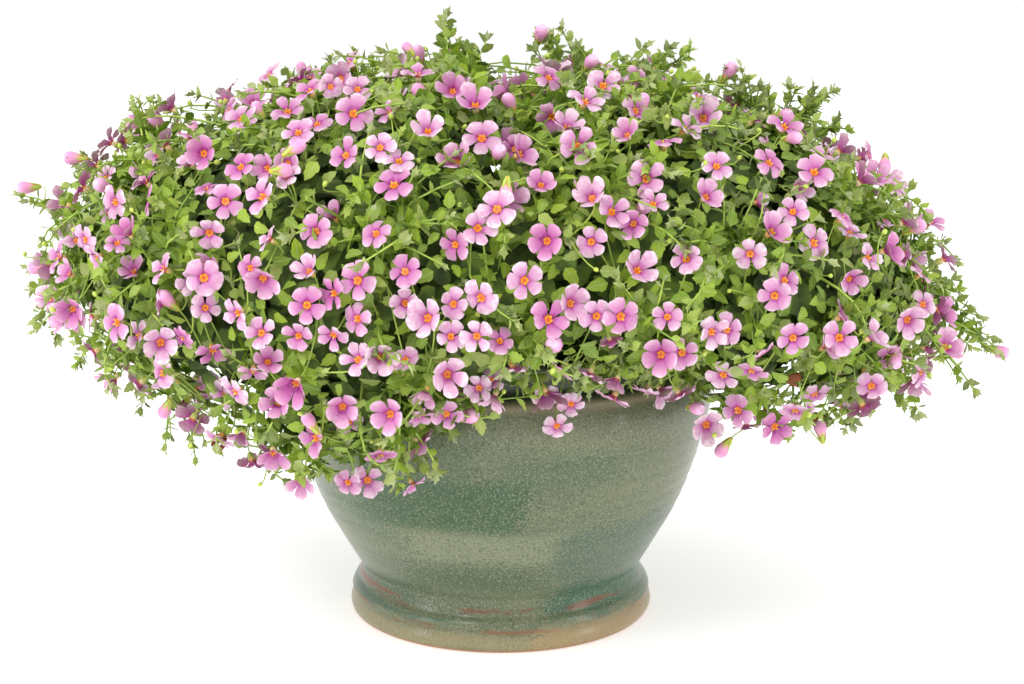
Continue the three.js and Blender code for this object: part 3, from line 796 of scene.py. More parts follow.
# %% Petal materials
PETAL, tree = new_material("petal_lilac_pink")
along, rib, tone = (attribute(tree, name) for name in ("along", "rib", "tone"))
usual = ramp(tree, along, [(0.16, "E8871C"), (0.21, "C93A8E"), (0.29, "C54DAA"), (0.42, "D788C3"),
                           (0.58, "DB9AC6"), (0.82, "EABFDA"), (1.0, "F7E3ED")])
faded = ramp(tree, along, [(0.16, "E89438"), (0.21, "CF5A9C"), (0.29, "CC72B8"), (0.42, "E2B2D4"),
                           (0.58, "E8C6DA"), (0.82, "F3DFE9"), (1.0, "F8EFF2")])
strong = ramp(tree, along, [(0.16, "DB6A12"), (0.21, "B22C86"), (0.29, "B03698"), (0.42, "C860B0"),
                            (0.58, "CF74B4"), (0.82, "E09CC8"), (1.0, "F0CCE0")])
light = mixed(tree, between(tree, tone, 0.5, 0.05), usual, faded)
petal_colour = mixed(tree, between(tree, tone, 0.5, 0.95), light, strong)
blush = mixed(tree, between(tree, noise_node(tree, 420, 3), 0.42, 0.62, 0.0, 0.5), petal_colour,
              srgb("DC8CC0"))
lines = math_node(tree, "SINE", math_node(tree, "MULTIPLY", rib, 21.0))
fine = math_node(tree, "MULTIPLY", between(tree, lines, 0.55, 1.0), between(tree, along, 0.95, 0.4))
veined = mixed(tree, math_node(tree, "MULTIPLY", fine, 0.3), blush, srgb("BE5CAA"))
wilt = attribute(tree, "wilt")
wilted = mixed(tree, between(tree, wilt, 0.2, 0.4), veined, srgb("9A4F86"))
dried = mixed(tree, between(tree, wilt, 0.7, 0.9), wilted, srgb("8E4C2C"))
crinkle = math_node(tree, "ADD", noise_node(tree, 600, 3), math_node(tree, "MULTIPLY", fine, 0.3))
surface(tree, dried, 0.5, crinkle, 0.45, 0.0006, 0.25)

ANTHER, tree = new_material("throat_orange")
depth = ramp(tree, attribute(tree, "along"), [(0.0, "C8400E"), (0.06, "E37A10"), (0.1, "EF9A16"),
                                              (0.2, "F7C92E")])
surface(tree, depth, 0.45)

TUBE_SKIN, tree = new_material("tube_cream")
skin = ramp(tree, noise_node(tree, 160, 2), [(0.35, "E8A850"), (0.6, "F2D8B0")])
surface(tree, skin, 0.55)

BUD_SKIN, tree = new_material("bud_pink")
length = ramp(tree, attribute(tree, "along"), [(0.1, "D9B03C"), (0.3, "EDAF74"), (0.5, "EBA6C2"),
                                               (0.75, "E296C6"), (1.0, "EFC0DE")])
skin = mixed(tree, between(tree, attribute(tree, "tone"), 0.4, 0.6), length, srgb("BFD05A"))
surface(tree, skin, 0.5, noise_node(tree, 600, 2), 0.2, 0.0003)

# %% [markdown]
# ## Where the blooms go
#
# The blooms that stand out most at the front are placed by where they are seen. The rest follow
# the spiral, as in the solids. Bacopa blooms look sideways and up, so over the crown they lean out
# from the middle of the plant.

# %% Blooms that are placed by where they are seen
# Pixels in a frame of IMAGE_WIDTH by IMAGE_HEIGHT. The first list is the solids' own
FRONT_BLOOMS = [
    (56, 324), (122, 320), (165, 372), (160, 265), (215, 260), (223, 200), (260, 200),
    (303, 140), (324, 229), (360, 118), (393, 110), (418, 82), (403, 183), (434, 138),
    (480, 135), (545, 73), (570, 155), (602, 162), (578, 203), (541, 241), (593, 263),
    (647, 182), (640, 105), (702, 117), (774, 138), (811, 177), (713, 188), (682, 263),
    (550, 325), (588, 335), (655, 352), (630, 322), (404, 219), (516, 285), (386, 403),
    (390, 452), (318, 440), (348, 405), (325, 365), (440, 415), (463, 395), (788, 338),
    (822, 330), (823, 241), (905, 325), (864, 377), (751, 374), (740, 404), (785, 440),
    (774, 302), (828, 272), (365, 500), (265, 335), (420, 320), (300, 300), (700, 330),
]
# Others that show at the front, between those of the solids
MORE_BLOOMS = [
    (437, 141), (564, 126), (623, 137), (520, 140), (660, 142), (516, 175), (549, 185), (590, 187),
    (602, 216), (640, 224), (654, 203), (452, 238), (478, 229), (445, 256), (592, 239), (519, 279),
    (649, 273), (140, 236), (205, 230), (193, 286), (236, 265), (261, 241), (264, 276), (311, 270),
    (168, 298), (322, 296), (346, 314), (336, 333), (210, 316), (239, 310), (256, 320), (135, 339),
    (215, 356), (193, 334), (242, 374), (266, 364), (226, 382), (288, 361), (360, 356), (347, 394),
    (654, 317), (711, 318), (737, 326), (797, 284), (844, 315), (714, 343), (675, 351), (761, 355),
    (797, 355), (720, 370), (786, 407), (815, 398), (766, 427), (744, 423), (927, 330), (954, 313),
    (890, 360), (937, 390), (956, 391), (928, 371), (833, 353), (853, 281), (396, 273), (446, 266),
    (516, 296), (491, 304), (461, 306), (446, 330), (475, 336), (441, 296), (411, 299), (577, 302),
    (507, 344), (591, 323), (657, 316), (556, 374), (614, 376),
    (404, 364), (376, 359), (488, 397), (422, 426), (838, 150), (716, 164), (750, 219), (786, 216),
    (776, 233), (754, 255), (836, 223), (855, 228), (871, 258), (886, 240), (897, 214), (912, 248),
    (921, 268), (826, 116), (237, 116), (288, 110), (330, 93), (355, 90), (374, 85), (462, 66),
    (454, 88), (426, 124), (375, 154), (397, 159), (349, 153), (384, 181), (281, 159), (261, 166),
    (306, 164), (288, 181), (238, 171), (315, 216), (64, 192), (113, 243), (62, 265), (100, 262),
    (120, 208), (147, 196), (203, 265), (175, 440), (240, 440), (262, 465), (345, 480), (410, 480),
]
# Three on long stalks hang before the neck of the pot
HANGING_BLOOMS = [(546, 398), (571, 405), (557, 427)]
HANGING_PLANE = -135 * MM
HANGING_RADIUS = 7.8 * MM
HANGING_TONE = 0.12
print(len(FRONT_BLOOMS + MORE_BLOOMS + HANGING_BLOOMS), "places marked for blooms")

# %% Random draws and lines of sight
VIEW_CENTRE = (500.5, IMAGE_HEIGHT / 2)  # where the camera's axis meets the picture
FOCAL_PIXELS = LENS / SENSOR * IMAGE_WIDTH
FAR_PENALTY = 0.02  # of two places equally near a line of sight, the one nearer the eye is taken
draw = random.Random(77)


def jitter(amount):
    return Vector((draw.uniform(-1, 1), draw.uniform(-1, 1), draw.uniform(-1, 1))) * amount


def square_to(axis):
    helper = UP if abs(axis.z) < 0.9 else Vector((1, 0, 0))
    side = axis.cross(helper).normalized()
    return side, side.cross(axis).normalized()


def seeded_draw(seed):
    """The same run of numbers as the solids are placed with."""
    state = seed
    while True:
        state = (state * 1664525 + 1013904223) & 0xFFFFFFFF
        yield state / 4294967296


FRONT_GRID = [(azimuth, polar, dome_point(azimuth, polar))
              for azimuth in range(-180, 0, 3) for polar in range(20, POLAR_END, 2)]


def line_of_sight(pixel):
    ahead = Vector((pixel[0] - VIEW_CENTRE[0], FOCAL_PIXELS, VIEW_CENTRE[1] - pixel[1]))
    return (Matrix.Rotation(-EYE_PITCH, 3, "X") @ ahead).normalized()


def at_pixel(pixel, y):
    """The point seen through a pixel on the upright plane across the view at depth y."""
    ahead = line_of_sight(pixel)
    return EYE + ahead * ((y - EYE.y) / ahead.y)


def seen_place(pixel):
    """Bearing and polar angle of the dome's nearest point along a line of sight."""
    ahead = line_of_sight(pixel)
    best = (math.inf, 0, 0)
    for azimuth, polar, spot in FRONT_GRID:
        offset = spot - EYE
        depth = offset.dot(ahead)
        miss = (offset - ahead * depth).length + depth * FAR_PENALTY
        if miss < best[0]:
            best = (miss, azimuth, polar)
    return best[1], best[2]


# %% Blooms where the solids have them
BLOOM_RADIUS = 11.2 * MM
LIFE_SIZE = 0.78  # share of the solids' radius that a bloom has in life
BLOOM_COUNT = 245
BLOOM_SPACING = 23.6 * MM
SOLID_LIFT = (-6, 5)  # millimetres out of the dome
SOLID_SHAKE = 1.4
FACING_FRONT = 0.35
SHY_SHARE = 0.4  # of the blooms may have a leaf or a twig in front of them
USUAL_TONE = (0.38, 0.25)  # mean and spread, from pale at 0 to strong at 1
FORMS = (0, 1, 2, 3, 4)
SWEPT_FORM, WITHERED_FORM = 2, 5
solid_draw = seeded_draw(20251)
blooms = []


def is_spaced(centre, spacing):
    return all((bloom["centre"] - centre).length > spacing for bloom in blooms)


def leaning(spot, normal, shake, amount):
    """The way a bloom looks: out of the dome, out from its middle, and a little up."""
    outward = Vector((spot.x, spot.y, 0)).normalized()
    return normal + outward * 0.6 * max(normal.z, 0) + UP * 0.1 + shake * amount


def keep_bloom(shoot, centre, axis, radius, spin, pick, wilt=0.0):
    tone = min(max(draw.gauss(*USUAL_TONE), 0), 1)
    blooms.append({"shoot": shoot, "centre": centre, "axis": axis.normalized(), "radius": radius,
                   "spin": spin, "pick": pick, "tone": tone, "wilt": wilt,
                   "shy": draw.random() < SHY_SHARE})


def solid_bloom(azimuth, polar, facing):
    """A bloom that the solids hold, at the same place and at its size in life."""
    spot, normal = dome_point(azimuth, polar), dome_normal(azimuth, polar)
    shoot = nearest_shoot(spot)
    shake = Vector([next(solid_draw) - 0.5 for _ in range(3)])
    radius = BLOOM_RADIUS * mix(0.9, 1.1, next(solid_draw)) * LIFE_SIZE
    spin = (next(solid_draw) - 0.5) * 30
    lift = mix(*SOLID_LIFT, next(solid_draw)) * MM
    axis = leaning(spot, normal, shake, SOLID_SHAKE) + Vector((0, -1, 0.2)) * facing
    for pull in (0, 0.1, 0.2, 0.3, 0.4):
        centre = (spot + normal * lift).lerp(shoot["surface"], pull) + normal * 3 * MM
        if is_spaced(centre, BLOOM_SPACING):
            pick = draw.choices(FORMS, (4, 4, 3, 3, 1))[0]
            keep_bloom(shoot, centre, axis, radius, spin, pick)
            return


for pixel in FRONT_BLOOMS:
    solid_bloom(*seen_place(pixel), FACING_FRONT)
for k in range(BLOOM_COUNT):
    azimuth, polar = spiral_place(k, BLOOM_COUNT, 31)
    solid_bloom(azimuth + 6 * next(solid_draw), polar, 0)
print(len(blooms), "blooms where the solids have them")

# %% The smaller, deeper and withered blooms between them
HAND_SPACING = 10 * MM
EXTRA_COUNT = 360
EXTRA_SPACING = 16 * MM
WITHERED_EVERY = 9
WITHERED_BELOW = 96  # degrees from the crown
WITHERED_SIZE = 0.62

for pixel in HANGING_BLOOMS:
    spot = at_pixel(pixel, HANGING_PLANE)
    axis = Vector((draw.uniform(-0.4, 0.4), -0.8, -0.45))
    keep_bloom(nearest_shoot(spot), spot, axis, HANGING_RADIUS, draw.uniform(-180, 180), SWEPT_FORM)
    blooms[-1]["tone"] = HANGING_TONE
for pixel in MORE_BLOOMS:
    azimuth, polar = seen_place(pixel)
    spot, normal = dome_point(azimuth, polar), dome_normal(azimuth, polar)
    centre = spot + normal * draw.uniform(-5, 4) * MM
    axis = leaning(spot, normal, jitter(1.0), 0.85) + Vector((0, -0.2, 0))
    if is_spaced(centre, HAND_SPACING):
        size = BLOOM_RADIUS * LIFE_SIZE * draw.uniform(0.78, 1.0)
        keep_bloom(nearest_shoot(spot), centre, axis, size, draw.uniform(-180, 180),
                   draw.choices(FORMS, (3, 4, 3, 3, 1))[0])
for k in range(EXTRA_COUNT):
    azimuth, polar = even_place(k, EXTRA_COUNT, 140)
    spot, normal = dome_point(azimuth, polar), dome_normal(azimuth, polar)
    centre = spot + normal * draw.uniform(-13, 3) * MM
    size = BLOOM_RADIUS * LIFE_SIZE * draw.uniform(0.72, 1.02)
    axis = leaning(spot, normal, jitter(1.0), 1.05)
    withered = k % WITHERED_EVERY == 5 and polar > WITHERED_BELOW
    pick = WITHERED_FORM if withered else draw.choices(FORMS, (2, 3, 3, 3, 2))[0]
    if withered:
        centre, size = spot - normal * draw.uniform(1, 9) * MM, size * WITHERED_SIZE
    if is_spaced(centre, EXTRA_SPACING):
        keep_bloom(nearest_shoot(spot), centre, axis, size, draw.uniform(-180, 180), pick,
                   draw.choice((0.5, 1.0, 1.0)) if withered else 0.0)
print(len(blooms), "blooms in all")

bloom_tree = kdtree.KDTree(len(blooms))
for index, bloom in enumerate(blooms):
    bloom_tree.insert(bloom["centre"], index)
bloom_tree.balance()
SIGHT = 15 * MM
BEHIND = -2.5 * MM
FACE_SHARE = 0.95


def hides_bloom(place, room=0.0):
    """Whether something at a place would stand before a bloom or grow through it."""
    for centre, index, _ in bloom_tree.find_range(place, SIGHT):
        bloom = blooms[index]
        if bloom["shy"]:
            continue
        offset = place - centre
        height = offset.dot(bloom["axis"])
        aside = (offset - bloom["axis"] * height).length
        if height > BEHIND and aside < bloom["radius"] * FACE_SHARE + room:
            return True
    return False


# %% [markdown]
# ## Twigs
#
# Every shoot branches into twigs that end on the dome, each with pairs of leaves that are crossed
# in turn and get smaller to a tuft at the tip. Some twigs run along the surface instead, as the
# trailing ones do. A twig is a bent path, and its leaves stay clear of the faces of the blooms.

# %% Twigs
TWIG_COUNT = 1030
RUNNER_COUNT = 210
TWIG_STEPS = 5
TWIG_WIDTHS = (0.8 * MM, 0.42 * MM)
LONG_TWIG = 40 * MM
LAST_POLAR = 158
RUNNER_ARC = (12, 20)  # degrees that a runner lies along the dome
RUNNER_ROOT = 26  # millimetres under the dome
LEAF_SIZES = (11.0 * MM, 6.3 * MM)
TUFT_LEAVES = 4
TUFT_TURN = 2.4  # radians from one leaf of a tuft to the next
TUFT_SIZE = 6.0 * MM
TOOTHED_LEAVES, TINY_LEAF, PLAIN_LEAF = (0, 1, 2), 3, 4

clouds = {kind: {group: [] for group in GROUPS} for kind in ("leaf", "bloom", "bud", "inner")}
paths = {group: [] for group in GROUPS}
twig_places = []


def add_copy(kind, group, place, heading, face, size, pick, tone, age=0.0, wilt=0.0):
    clouds[kind][group].append((place, heading, face, size, pick, tone, age, wilt))


def add_path(group, points, thick, thin, age, tone):
    paths[group].append((points, thick, thin, age, tone))


def add_leaf(group, place, heading, face, size, pick, tone, age):
    if not hides_bloom(place + heading * size * 0.55, size * 0.3):
        add_copy("leaf", group, place, heading, face, size, pick, tone, min(max(age, 0), 1))


def leafy_twig(shoot, controls, pairs, vigour, plain_below):
    """A twig along a curve, with crossed pairs of leaves and a tuft, unless it hides a bloom."""
    group = shoot["group"]
    points = [bezier(controls, i / TWIG_STEPS) for i in range(TWIG_STEPS + 1)]
    if any(hides_bloom(point) for point in points[3:]):
        return
    tone = draw.uniform(0.0, 1.0)
    add_path(group, points, *TWIG_WIDTHS, 0.0, tone)
    twig_places.extend(points[1:])
    spin = draw.uniform(0, math.pi)
    for pair in range(pairs):
        share = (pair + 1) / (pairs + 0.6)
        place = bezier(controls, share)
        axis = (bezier(controls, share + 0.01) - bezier(controls, share - 0.01)).normalized()
        side, upward = square_to(axis)
        size = mix(*LEAF_SIZES, share) * vigour * draw.uniform(0.75, 1.2)
        spin += math.radians(90 + draw.uniform(-20, 20))
        for turn in (spin, spin + math.pi):
            out = side * math.cos(turn) + upward * math.sin(turn)
            heading = (out + axis * mix(0.35, 0.8, share) + jitter(0.25)).normalized()
            face = axis + UP * 0.35 + jitter(0.3)
            leaf_tone = min(max(tone + draw.uniform(-0.35, 0.35), 0), 1)
            pick = PLAIN_LEAF if share < plain_below else draw.choice(TOOTHED_LEAVES)
            age = mix(1.0, 0.1, share) + draw.uniform(-0.15, 0.15)
            add_leaf(group, place, heading, face, size, pick, leaf_tone, age)
    tip, axis = points[-1], (points[-1] - points[-2]).normalized()
    side, upward = square_to(axis)
    for k in range(TUFT_LEAVES):
        turn = spin + k * TUFT_TURN
        out = side * math.cos(turn) + upward * math.sin(turn)
        heading = (axis + out * draw.uniform(0.3, 1.0)).normalized()
        place = tip - axis * draw.uniform(0, 4) * MM
        size = TUFT_SIZE * draw.uniform(0.7, 1.25)
        add_leaf(group, place, heading, axis - out * 0.2, size, TINY_LEAF, tone, draw.uniform(0, 0.2))


for k in range(TWIG_COUNT):
    azimuth, polar = even_place(k, TWIG_COUNT, 12)
    azimuth += draw.uniform(-3, 3)
    polar = min(max(polar + draw.uniform(-3, 3), 1), LAST_POLAR)
    spot, normal = dome_point(azimuth, polar), dome_normal(azimuth, polar)
    shoot = nearest_shoot(spot)
    tip = spot + normal * draw.uniform(-13, 8) * MM
    start = shoot["core"].lerp(tip, 0.2) + jitter(4 * MM)
    reach = (tip - start).length
    bend = start + shoot["normal"] * reach * 0.55 + jitter(7 * MM)
    leafy_twig(shoot, [start, bend, tip], 6 if reach > LONG_TWIG else 5, 1.0, 0.55)

for k in range(RUNNER_COUNT):
    azimuth, polar = even_place(k, RUNNER_COUNT, 200)
    back = draw.uniform(*RUNNER_ARC)
    polar = max(polar, back + 4)
    sway = draw.uniform(-8, 8)
    tip = dome_point(azimuth + sway, polar) + dome_normal(azimuth, polar) * draw.uniform(2, 12) * MM
    start = dome_point(azimuth, polar - back) - dome_normal(azimuth, polar - back) * RUNNER_ROOT * MM
    bend = dome_point(azimuth, polar - back * 0.4) + dome_normal(azimuth, polar) * 8 * MM
    leafy_twig(nearest_shoot(tip), [start, bend, tip], 6, 0.8, 0.2)

print(sum(len(c) for c in clouds["leaf"].values()), "leaves")

# %% [markdown]
# ## Sprigs at the outline
#
# A few sprigs stand out of the dome or hang below it, and they give the plant its ragged outline.
# The first ones are those of the solids. The others are placed by where their tips are seen.

# %% Sprigs
SPRIG_TIPS = [(-29, 0, 328), (21, 0, 318), (-258, -20, 234), (-262, 10, 190), (274, -10, 146),
              (125, 0, 300), (-200, 20, 282), (178, 20, 284)]
OUTLINE_TIPS = [
    (72, 160), (134, 102), (152, 98), (195, 94), (232, 102), (285, 72), (330, 58), (355, 52),
    (378, 44), (402, 40), (420, 52), (458, 42), (487, 38), (541, 34), (562, 30),
    (576, 46), (600, 44), (622, 44), (645, 46), (668, 52), (690, 48), (728, 70), (760, 86),
    (790, 84), (812, 90), (836, 90), (838, 118), (862, 165), (884, 178), (910, 188), (942, 216),
    (946, 240), (962, 290), (984, 318), (1000, 350), (975, 392), (915, 416), (845, 430), (42, 205),
    (32, 290), (36, 330), (75, 365), (108, 388), (140, 412), (165, 448), (195, 456),
]
RIM_TIPS = [(452, 436), (476, 420), (500, 394), (524, 388), (548, 386), (572, 390), (598, 386),
            (622, 386), (648, 392), (672, 396), (692, 400), (426, 470), (400, 490), (372, 500)]
RIM_PLANE = -128 * MM
SPRIG_TWIGS = 3
SPRIG_SHAKE = 6 * MM

tips = [Vector(tip) * MM for tip in SPRIG_TIPS]
tips += [at_pixel(pixel, 0.0) for pixel in OUTLINE_TIPS]
tips += [at_pixel(pixel, RIM_PLANE) for pixel in RIM_TIPS]
for tip in tips:
    shoot = nearest_shoot(tip)
    for k in range(SPRIG_TWIGS):
        end = tip + jitter(SPRIG_SHAKE) * min(k, 1) - (tip - shoot["core"]).normalized() * 5 * k * MM
        start = shoot["core"].lerp(end, 0.25) + jitter(SPRIG_SHAKE)
        bend = start.lerp(end, 0.5) + UP * 7 * MM + jitter(SPRIG_SHAKE)
        leafy_twig(shoot, [start, bend, end], 6, 0.95, 0.3)
print(len(tips), "sprigs of", SPRIG_TWIGS, "twigs at most")

# %% Leaves that fill between the twigs
FILL_COUNT = 3200
FILL_DEPTHS = (3, 16)  # millimetres under the dome
FILL_SIZES = (7, 10.5)
for k in range(FILL_COUNT):
    azimuth, polar = even_place(k, FILL_COUNT, 33)
    normal = dome_normal(azimuth, polar)
    spot = dome_point(azimuth, polar) - normal * draw.uniform(*FILL_DEPTHS) * MM
    heading = (jitter(1.0).cross(normal).normalized() + normal * draw.uniform(-0.1, 0.7)).normalized()
    age = draw.uniform(0.2, 0.8)
    add_leaf(nearest_shoot(spot)["group"], spot - heading * 6 * MM, heading, normal + jitter(0.6),
             draw.uniform(*FILL_SIZES) * MM, PLAIN_LEAF, draw.uniform(0, 1), age)

# The walls of the cleft look at each other, so its bottom is filled from above
CLEFT_LEAVES = 560
CLEFT_DEPTHS = (-2, 22)
CLEFT_SIZES = (8, 12)
for k in range(CLEFT_LEAVES):
    azimuth, polar = draw.choice((-90, 90)) + draw.uniform(-20, 20), draw.uniform(3, 66)
    spot = dome_point(azimuth, polar) - UP * draw.uniform(*CLEFT_DEPTHS) * MM
    add_leaf(nearest_shoot(spot)["group"], spot, jitter(1.0).normalized(), UP + jitter(0.8),
             draw.uniform(*CLEFT_SIZES) * MM, PLAIN_LEAF, draw.uniform(0, 1), draw.uniform(0.3, 1))
print(sum(len(c) for c in clouds["leaf"].values()), "leaves with sprigs and fill")

# %% [markdown]
# ## Stalks, and buds
#
# Each bloom hangs on a thin stalk from the nearest twig. Balloon-shaped buds about to open stand
# among them, and small green ones sit near the tips.

# %% Stalks of the blooms
STALK_WIDTH = 0.42 * MM
STALK_STEPS = 4
STALK_DEPTH = 12  # millimetres under the bloom, where its twig is looked for
STALK_RISE = 13 * MM
STALK_FALL = 20 * MM  # of the stalks of blooms that look down
LOOKING_DOWN = -0.3
LONGEST_SWING = 12 * MM

twig_tree = kdtree.KDTree(len(twig_places))
for index, place in enumerate(twig_places):
    twig_tree.insert(place, index)
twig_tree.balance()

for bloom in blooms:
    side, upward = square_to(bloom["axis"])
    turn = math.radians(bloom["spin"])
    heading = upward * math.cos(turn) + side * math.sin(turn)
    shoot, axis = bloom["shoot"], bloom["axis"]
    add_copy("bloom", shoot["group"], bloom["centre"], heading, axis, bloom["radius"],
             bloom["pick"], bloom["tone"], 0, bloom["wilt"])
    neck = bloom["centre"] - axis * bloom["radius"] * 0.66
    rise = STALK_RISE if axis.z > LOOKING_DOWN else -STALK_FALL
    place, _, distance = twig_tree.find(neck - shoot["normal"] * STALK_DEPTH * MM - UP * rise)
    swing = neck - axis * min(distance * 0.5, LONGEST_SWING) - UP * 2 * MM
    stalk = [bezier([place, swing, neck], i / STALK_STEPS) for i in range(STALK_STEPS + 1)]
    add_path(shoot["group"], stalk, STALK_WIDTH, STALK_WIDTH, 0.0, draw.uniform(0, 0.8))
print(len(blooms), "stalks")

# %% Buds
BALLOON_COUNT = 50
SMALL_COUNT = 230
BALLOON_SIZE = 7.2 * MM
SMALL_BUD_SIZE = 2.6 * MM
BUD_STALK_WIDTHS = (0.32 * MM, 0.36 * MM)
BUD_STALK_DEPTH = 9


def add_bud(spot, axis, size, pick, tone):
    if hides_bloom(spot, 2 * MM):
        return
    shoot = nearest_shoot(spot)
    side, upward = square_to(axis)
    add_copy("bud", shoot["group"], spot, upward, axis, size, pick, tone)
    neck = spot - axis * size * (1.0 if pick == 0 else 0.6)
    place, _, distance = twig_tree.find(neck - shoot["normal"] * BUD_STALK_DEPTH * MM)
    curve = [place, neck - axis * distance * 0.4, neck]
    stalk = [bezier(curve, i / STALK_STEPS) for i in range(STALK_STEPS + 1)]
    add_path(shoot["group"], stalk, *BUD_STALK_WIDTHS, 0.0, draw.uniform(0, 0.6))


OUTLINE_BUDS = [(25, 188), (72, 158), (134, 122), (418, 53), (541, 33), (730, 70), (1001, 352),
                (36, 268)]
FRONT_BUDS = [(838, 150), (873, 171), (505, 205), (474, 205), (308, 163), (288, 179), (635, 285),
              (819, 420), (396, 273), (98, 240), (700, 392), (586, 61), (500, 112), (190, 345)]
for pixel in OUTLINE_BUDS:
    spot = at_pixel(pixel, 0.0)
    axis = Vector((spot.x, -0.03, spot.z - 0.2)).normalized() + jitter(0.25)
    add_bud(spot, axis.normalized(), BALLOON_SIZE * 1.1, 0, 0.0)
for pixel in FRONT_BUDS:
    azimuth, polar = seen_place(pixel)
    spot = dome_point(azimuth, polar) + dome_normal(azimuth, polar) * 7 * MM
    add_bud(spot, jitter(1.0).normalized() * 0.8 + UP * 0.3, BALLOON_SIZE, 0, 0.0)
for count, size, pick, low, high in ((BALLOON_COUNT, BALLOON_SIZE, 0, -4, 8),
                                     (SMALL_COUNT, SMALL_BUD_SIZE, 1, -8, 9)):
    for k in range(count):
        azimuth, polar = even_place(k, count, 60 + 70 * pick)
        normal = dome_normal(azimuth, polar)
        spot = dome_point(azimuth, polar) + normal * draw.uniform(low, high) * MM + jitter(6 * MM)
        axis = (normal * 0.6 + UP * 0.3 + jitter(0.9)).normalized()
        add_bud(spot, axis, size * draw.uniform(0.8, 1.15), pick, float(pick))
print(sum(len(c) for c in clouds["bud"].values()), "buds")

# %% [markdown]
# ## Inside the plant
#
# Between the outer leaves one looks into layers of older ones, which get next to no light. Three
# shells of plain leaves under the surface, turned every way and painted dark as painted shade, close
# the view as they do.

# %% Inner leaves
# How many leaves a shell has, then how deep it lies and how long they are, in millimetres
SHELLS = ((1500, 20, 15.0), (1200, 34, 29.0), (450, 54, 42.0))
for count, depth, size in SHELLS:
    for k in range(count):
        azimuth, polar = even_place(k, count, 5 * depth)
        normal = dome_normal(azimuth, polar)
        spot = dome_point(azimuth, polar) - normal * (depth + draw.uniform(-6, 6)) * MM
        heading = jitter(1.0).cross(normal).normalized()
        face = normal + jitter(0.6)
        shoot = nearest_shoot(spot + normal * depth * MM)
        add_copy("inner", shoot["group"], spot - heading * size * MM / 2, heading, face,
                 size * draw.uniform(0.8, 1.2) * MM, PLAIN_LEAF, 0.0)
print(sum(len(c) for c in clouds["inner"].values()), "inner leaves")

# %% [markdown]
# ## From clouds and paths to pieces
#
# Each group of shoots becomes six pieces: its leaves, blooms, buds and stems, its inner leaves, and
# ragged clumps of old leaves round the inner twigs. All six stand for the group's solids.

# %% Build the pieces
def cloud_object(name, copies):
    mesh = bpy.data.meshes.new(name)
    mesh.from_pydata([tuple(c[0]) for c in copies], [], [])
    for key, column in (("heading", 1), ("face", 2)):
        layer = mesh.attributes.new(key, "FLOAT_VECTOR", "POINT")
        layer.data.foreach_set("vector", [x for c in copies for x in c[column]])
    for key, column in (("size", 3), ("tone", 5), ("age", 6), ("wilt", 7)):
        mesh.attributes.new(key, "FLOAT", "POINT").data.foreach_set("value", [c[column] for c in copies])
    mesh.attributes.new("pick", "INT", "POINT").data.foreach_set("value", [c[4] for c in copies])
    return link(bpy.data.objects.new(name, mesh))


def path_object(name, group_paths):
    points, edges, thickness, ages, tones = [], [], [], [], []
    for places, thick, thin, age, tone in group_paths:
        first = len(points)
        points += [tuple(p) for p in places]
        edges += [(first + i, first + i + 1) for i in range(len(places) - 1)]
        thickness += [mix(thick, thin, i / (len(places) - 1)) for i in range(len(places))]
        ages += [age] * len(places)
        tones += [tone] * len(places)
    mesh = bpy.data.meshes.new(name)
    mesh.from_pydata(points, edges, [])
    for key, values in (("thickness", thickness), ("age", ages), ("tone", tones)):
        mesh.attributes.new(key, "FLOAT", "POINT").data.foreach_set("value", values)
    return link(bpy.data.objects.new(name, mesh))


STEM_STEPS = 12
STEM_SIDES = 4
STEM_WIDTHS = (2.1 * MM, 1.5 * MM)
MAIN_STEM_DARKENING, STEM_TONE = 0.6, 0.5
for shoot in shoots:
    root = shoot["path"][0]
    line = [root - UP * (HOLE_DEPTH - 1 * MM)]
    line += [bezier(shoot["path"], i / STEM_STEPS) for i in range(STEM_STEPS + 1)]
    add_path(shoot["group"], line, *STEM_WIDTHS, MAIN_STEM_DARKENING, STEM_TONE)

# %% Clumps, and all the pieces
CLUMP_DETAIL = 1
CLUMP_LEAN = 0.9
CLUMP_DENSITY = 3200.0
CLUMP_LEAF = 14 * MM
CLUMP_SEED = 40


def clump_object(name, members):
    """The inner twigs and old leaves of some shoots, as ragged clumps, dark with painted shade."""
    shape = bmesh.new()
    for shoot in members:
        ball = bmesh.ops.create_icosphere(shape, subdivisions=CLUMP_DETAIL, radius=1.0)
        turn = UP.rotation_difference(shoot["normal"]).to_matrix()
        for vertex in ball["verts"]:
            rough = 0.85 + 0.3 * noise.noise(vertex.co * 2.3 + shoot["core"] * 90)
            place = vertex.co * CORE_RADIUS * rough
            place.z *= CORE_FLATNESS
            vertex.co = turn @ place + shoot["core"]
    mesh = bpy.data.meshes.new(name)
    shape.to_mesh(mesh)
    shape.free()
    return link(bpy.data.objects.new(name, mesh))


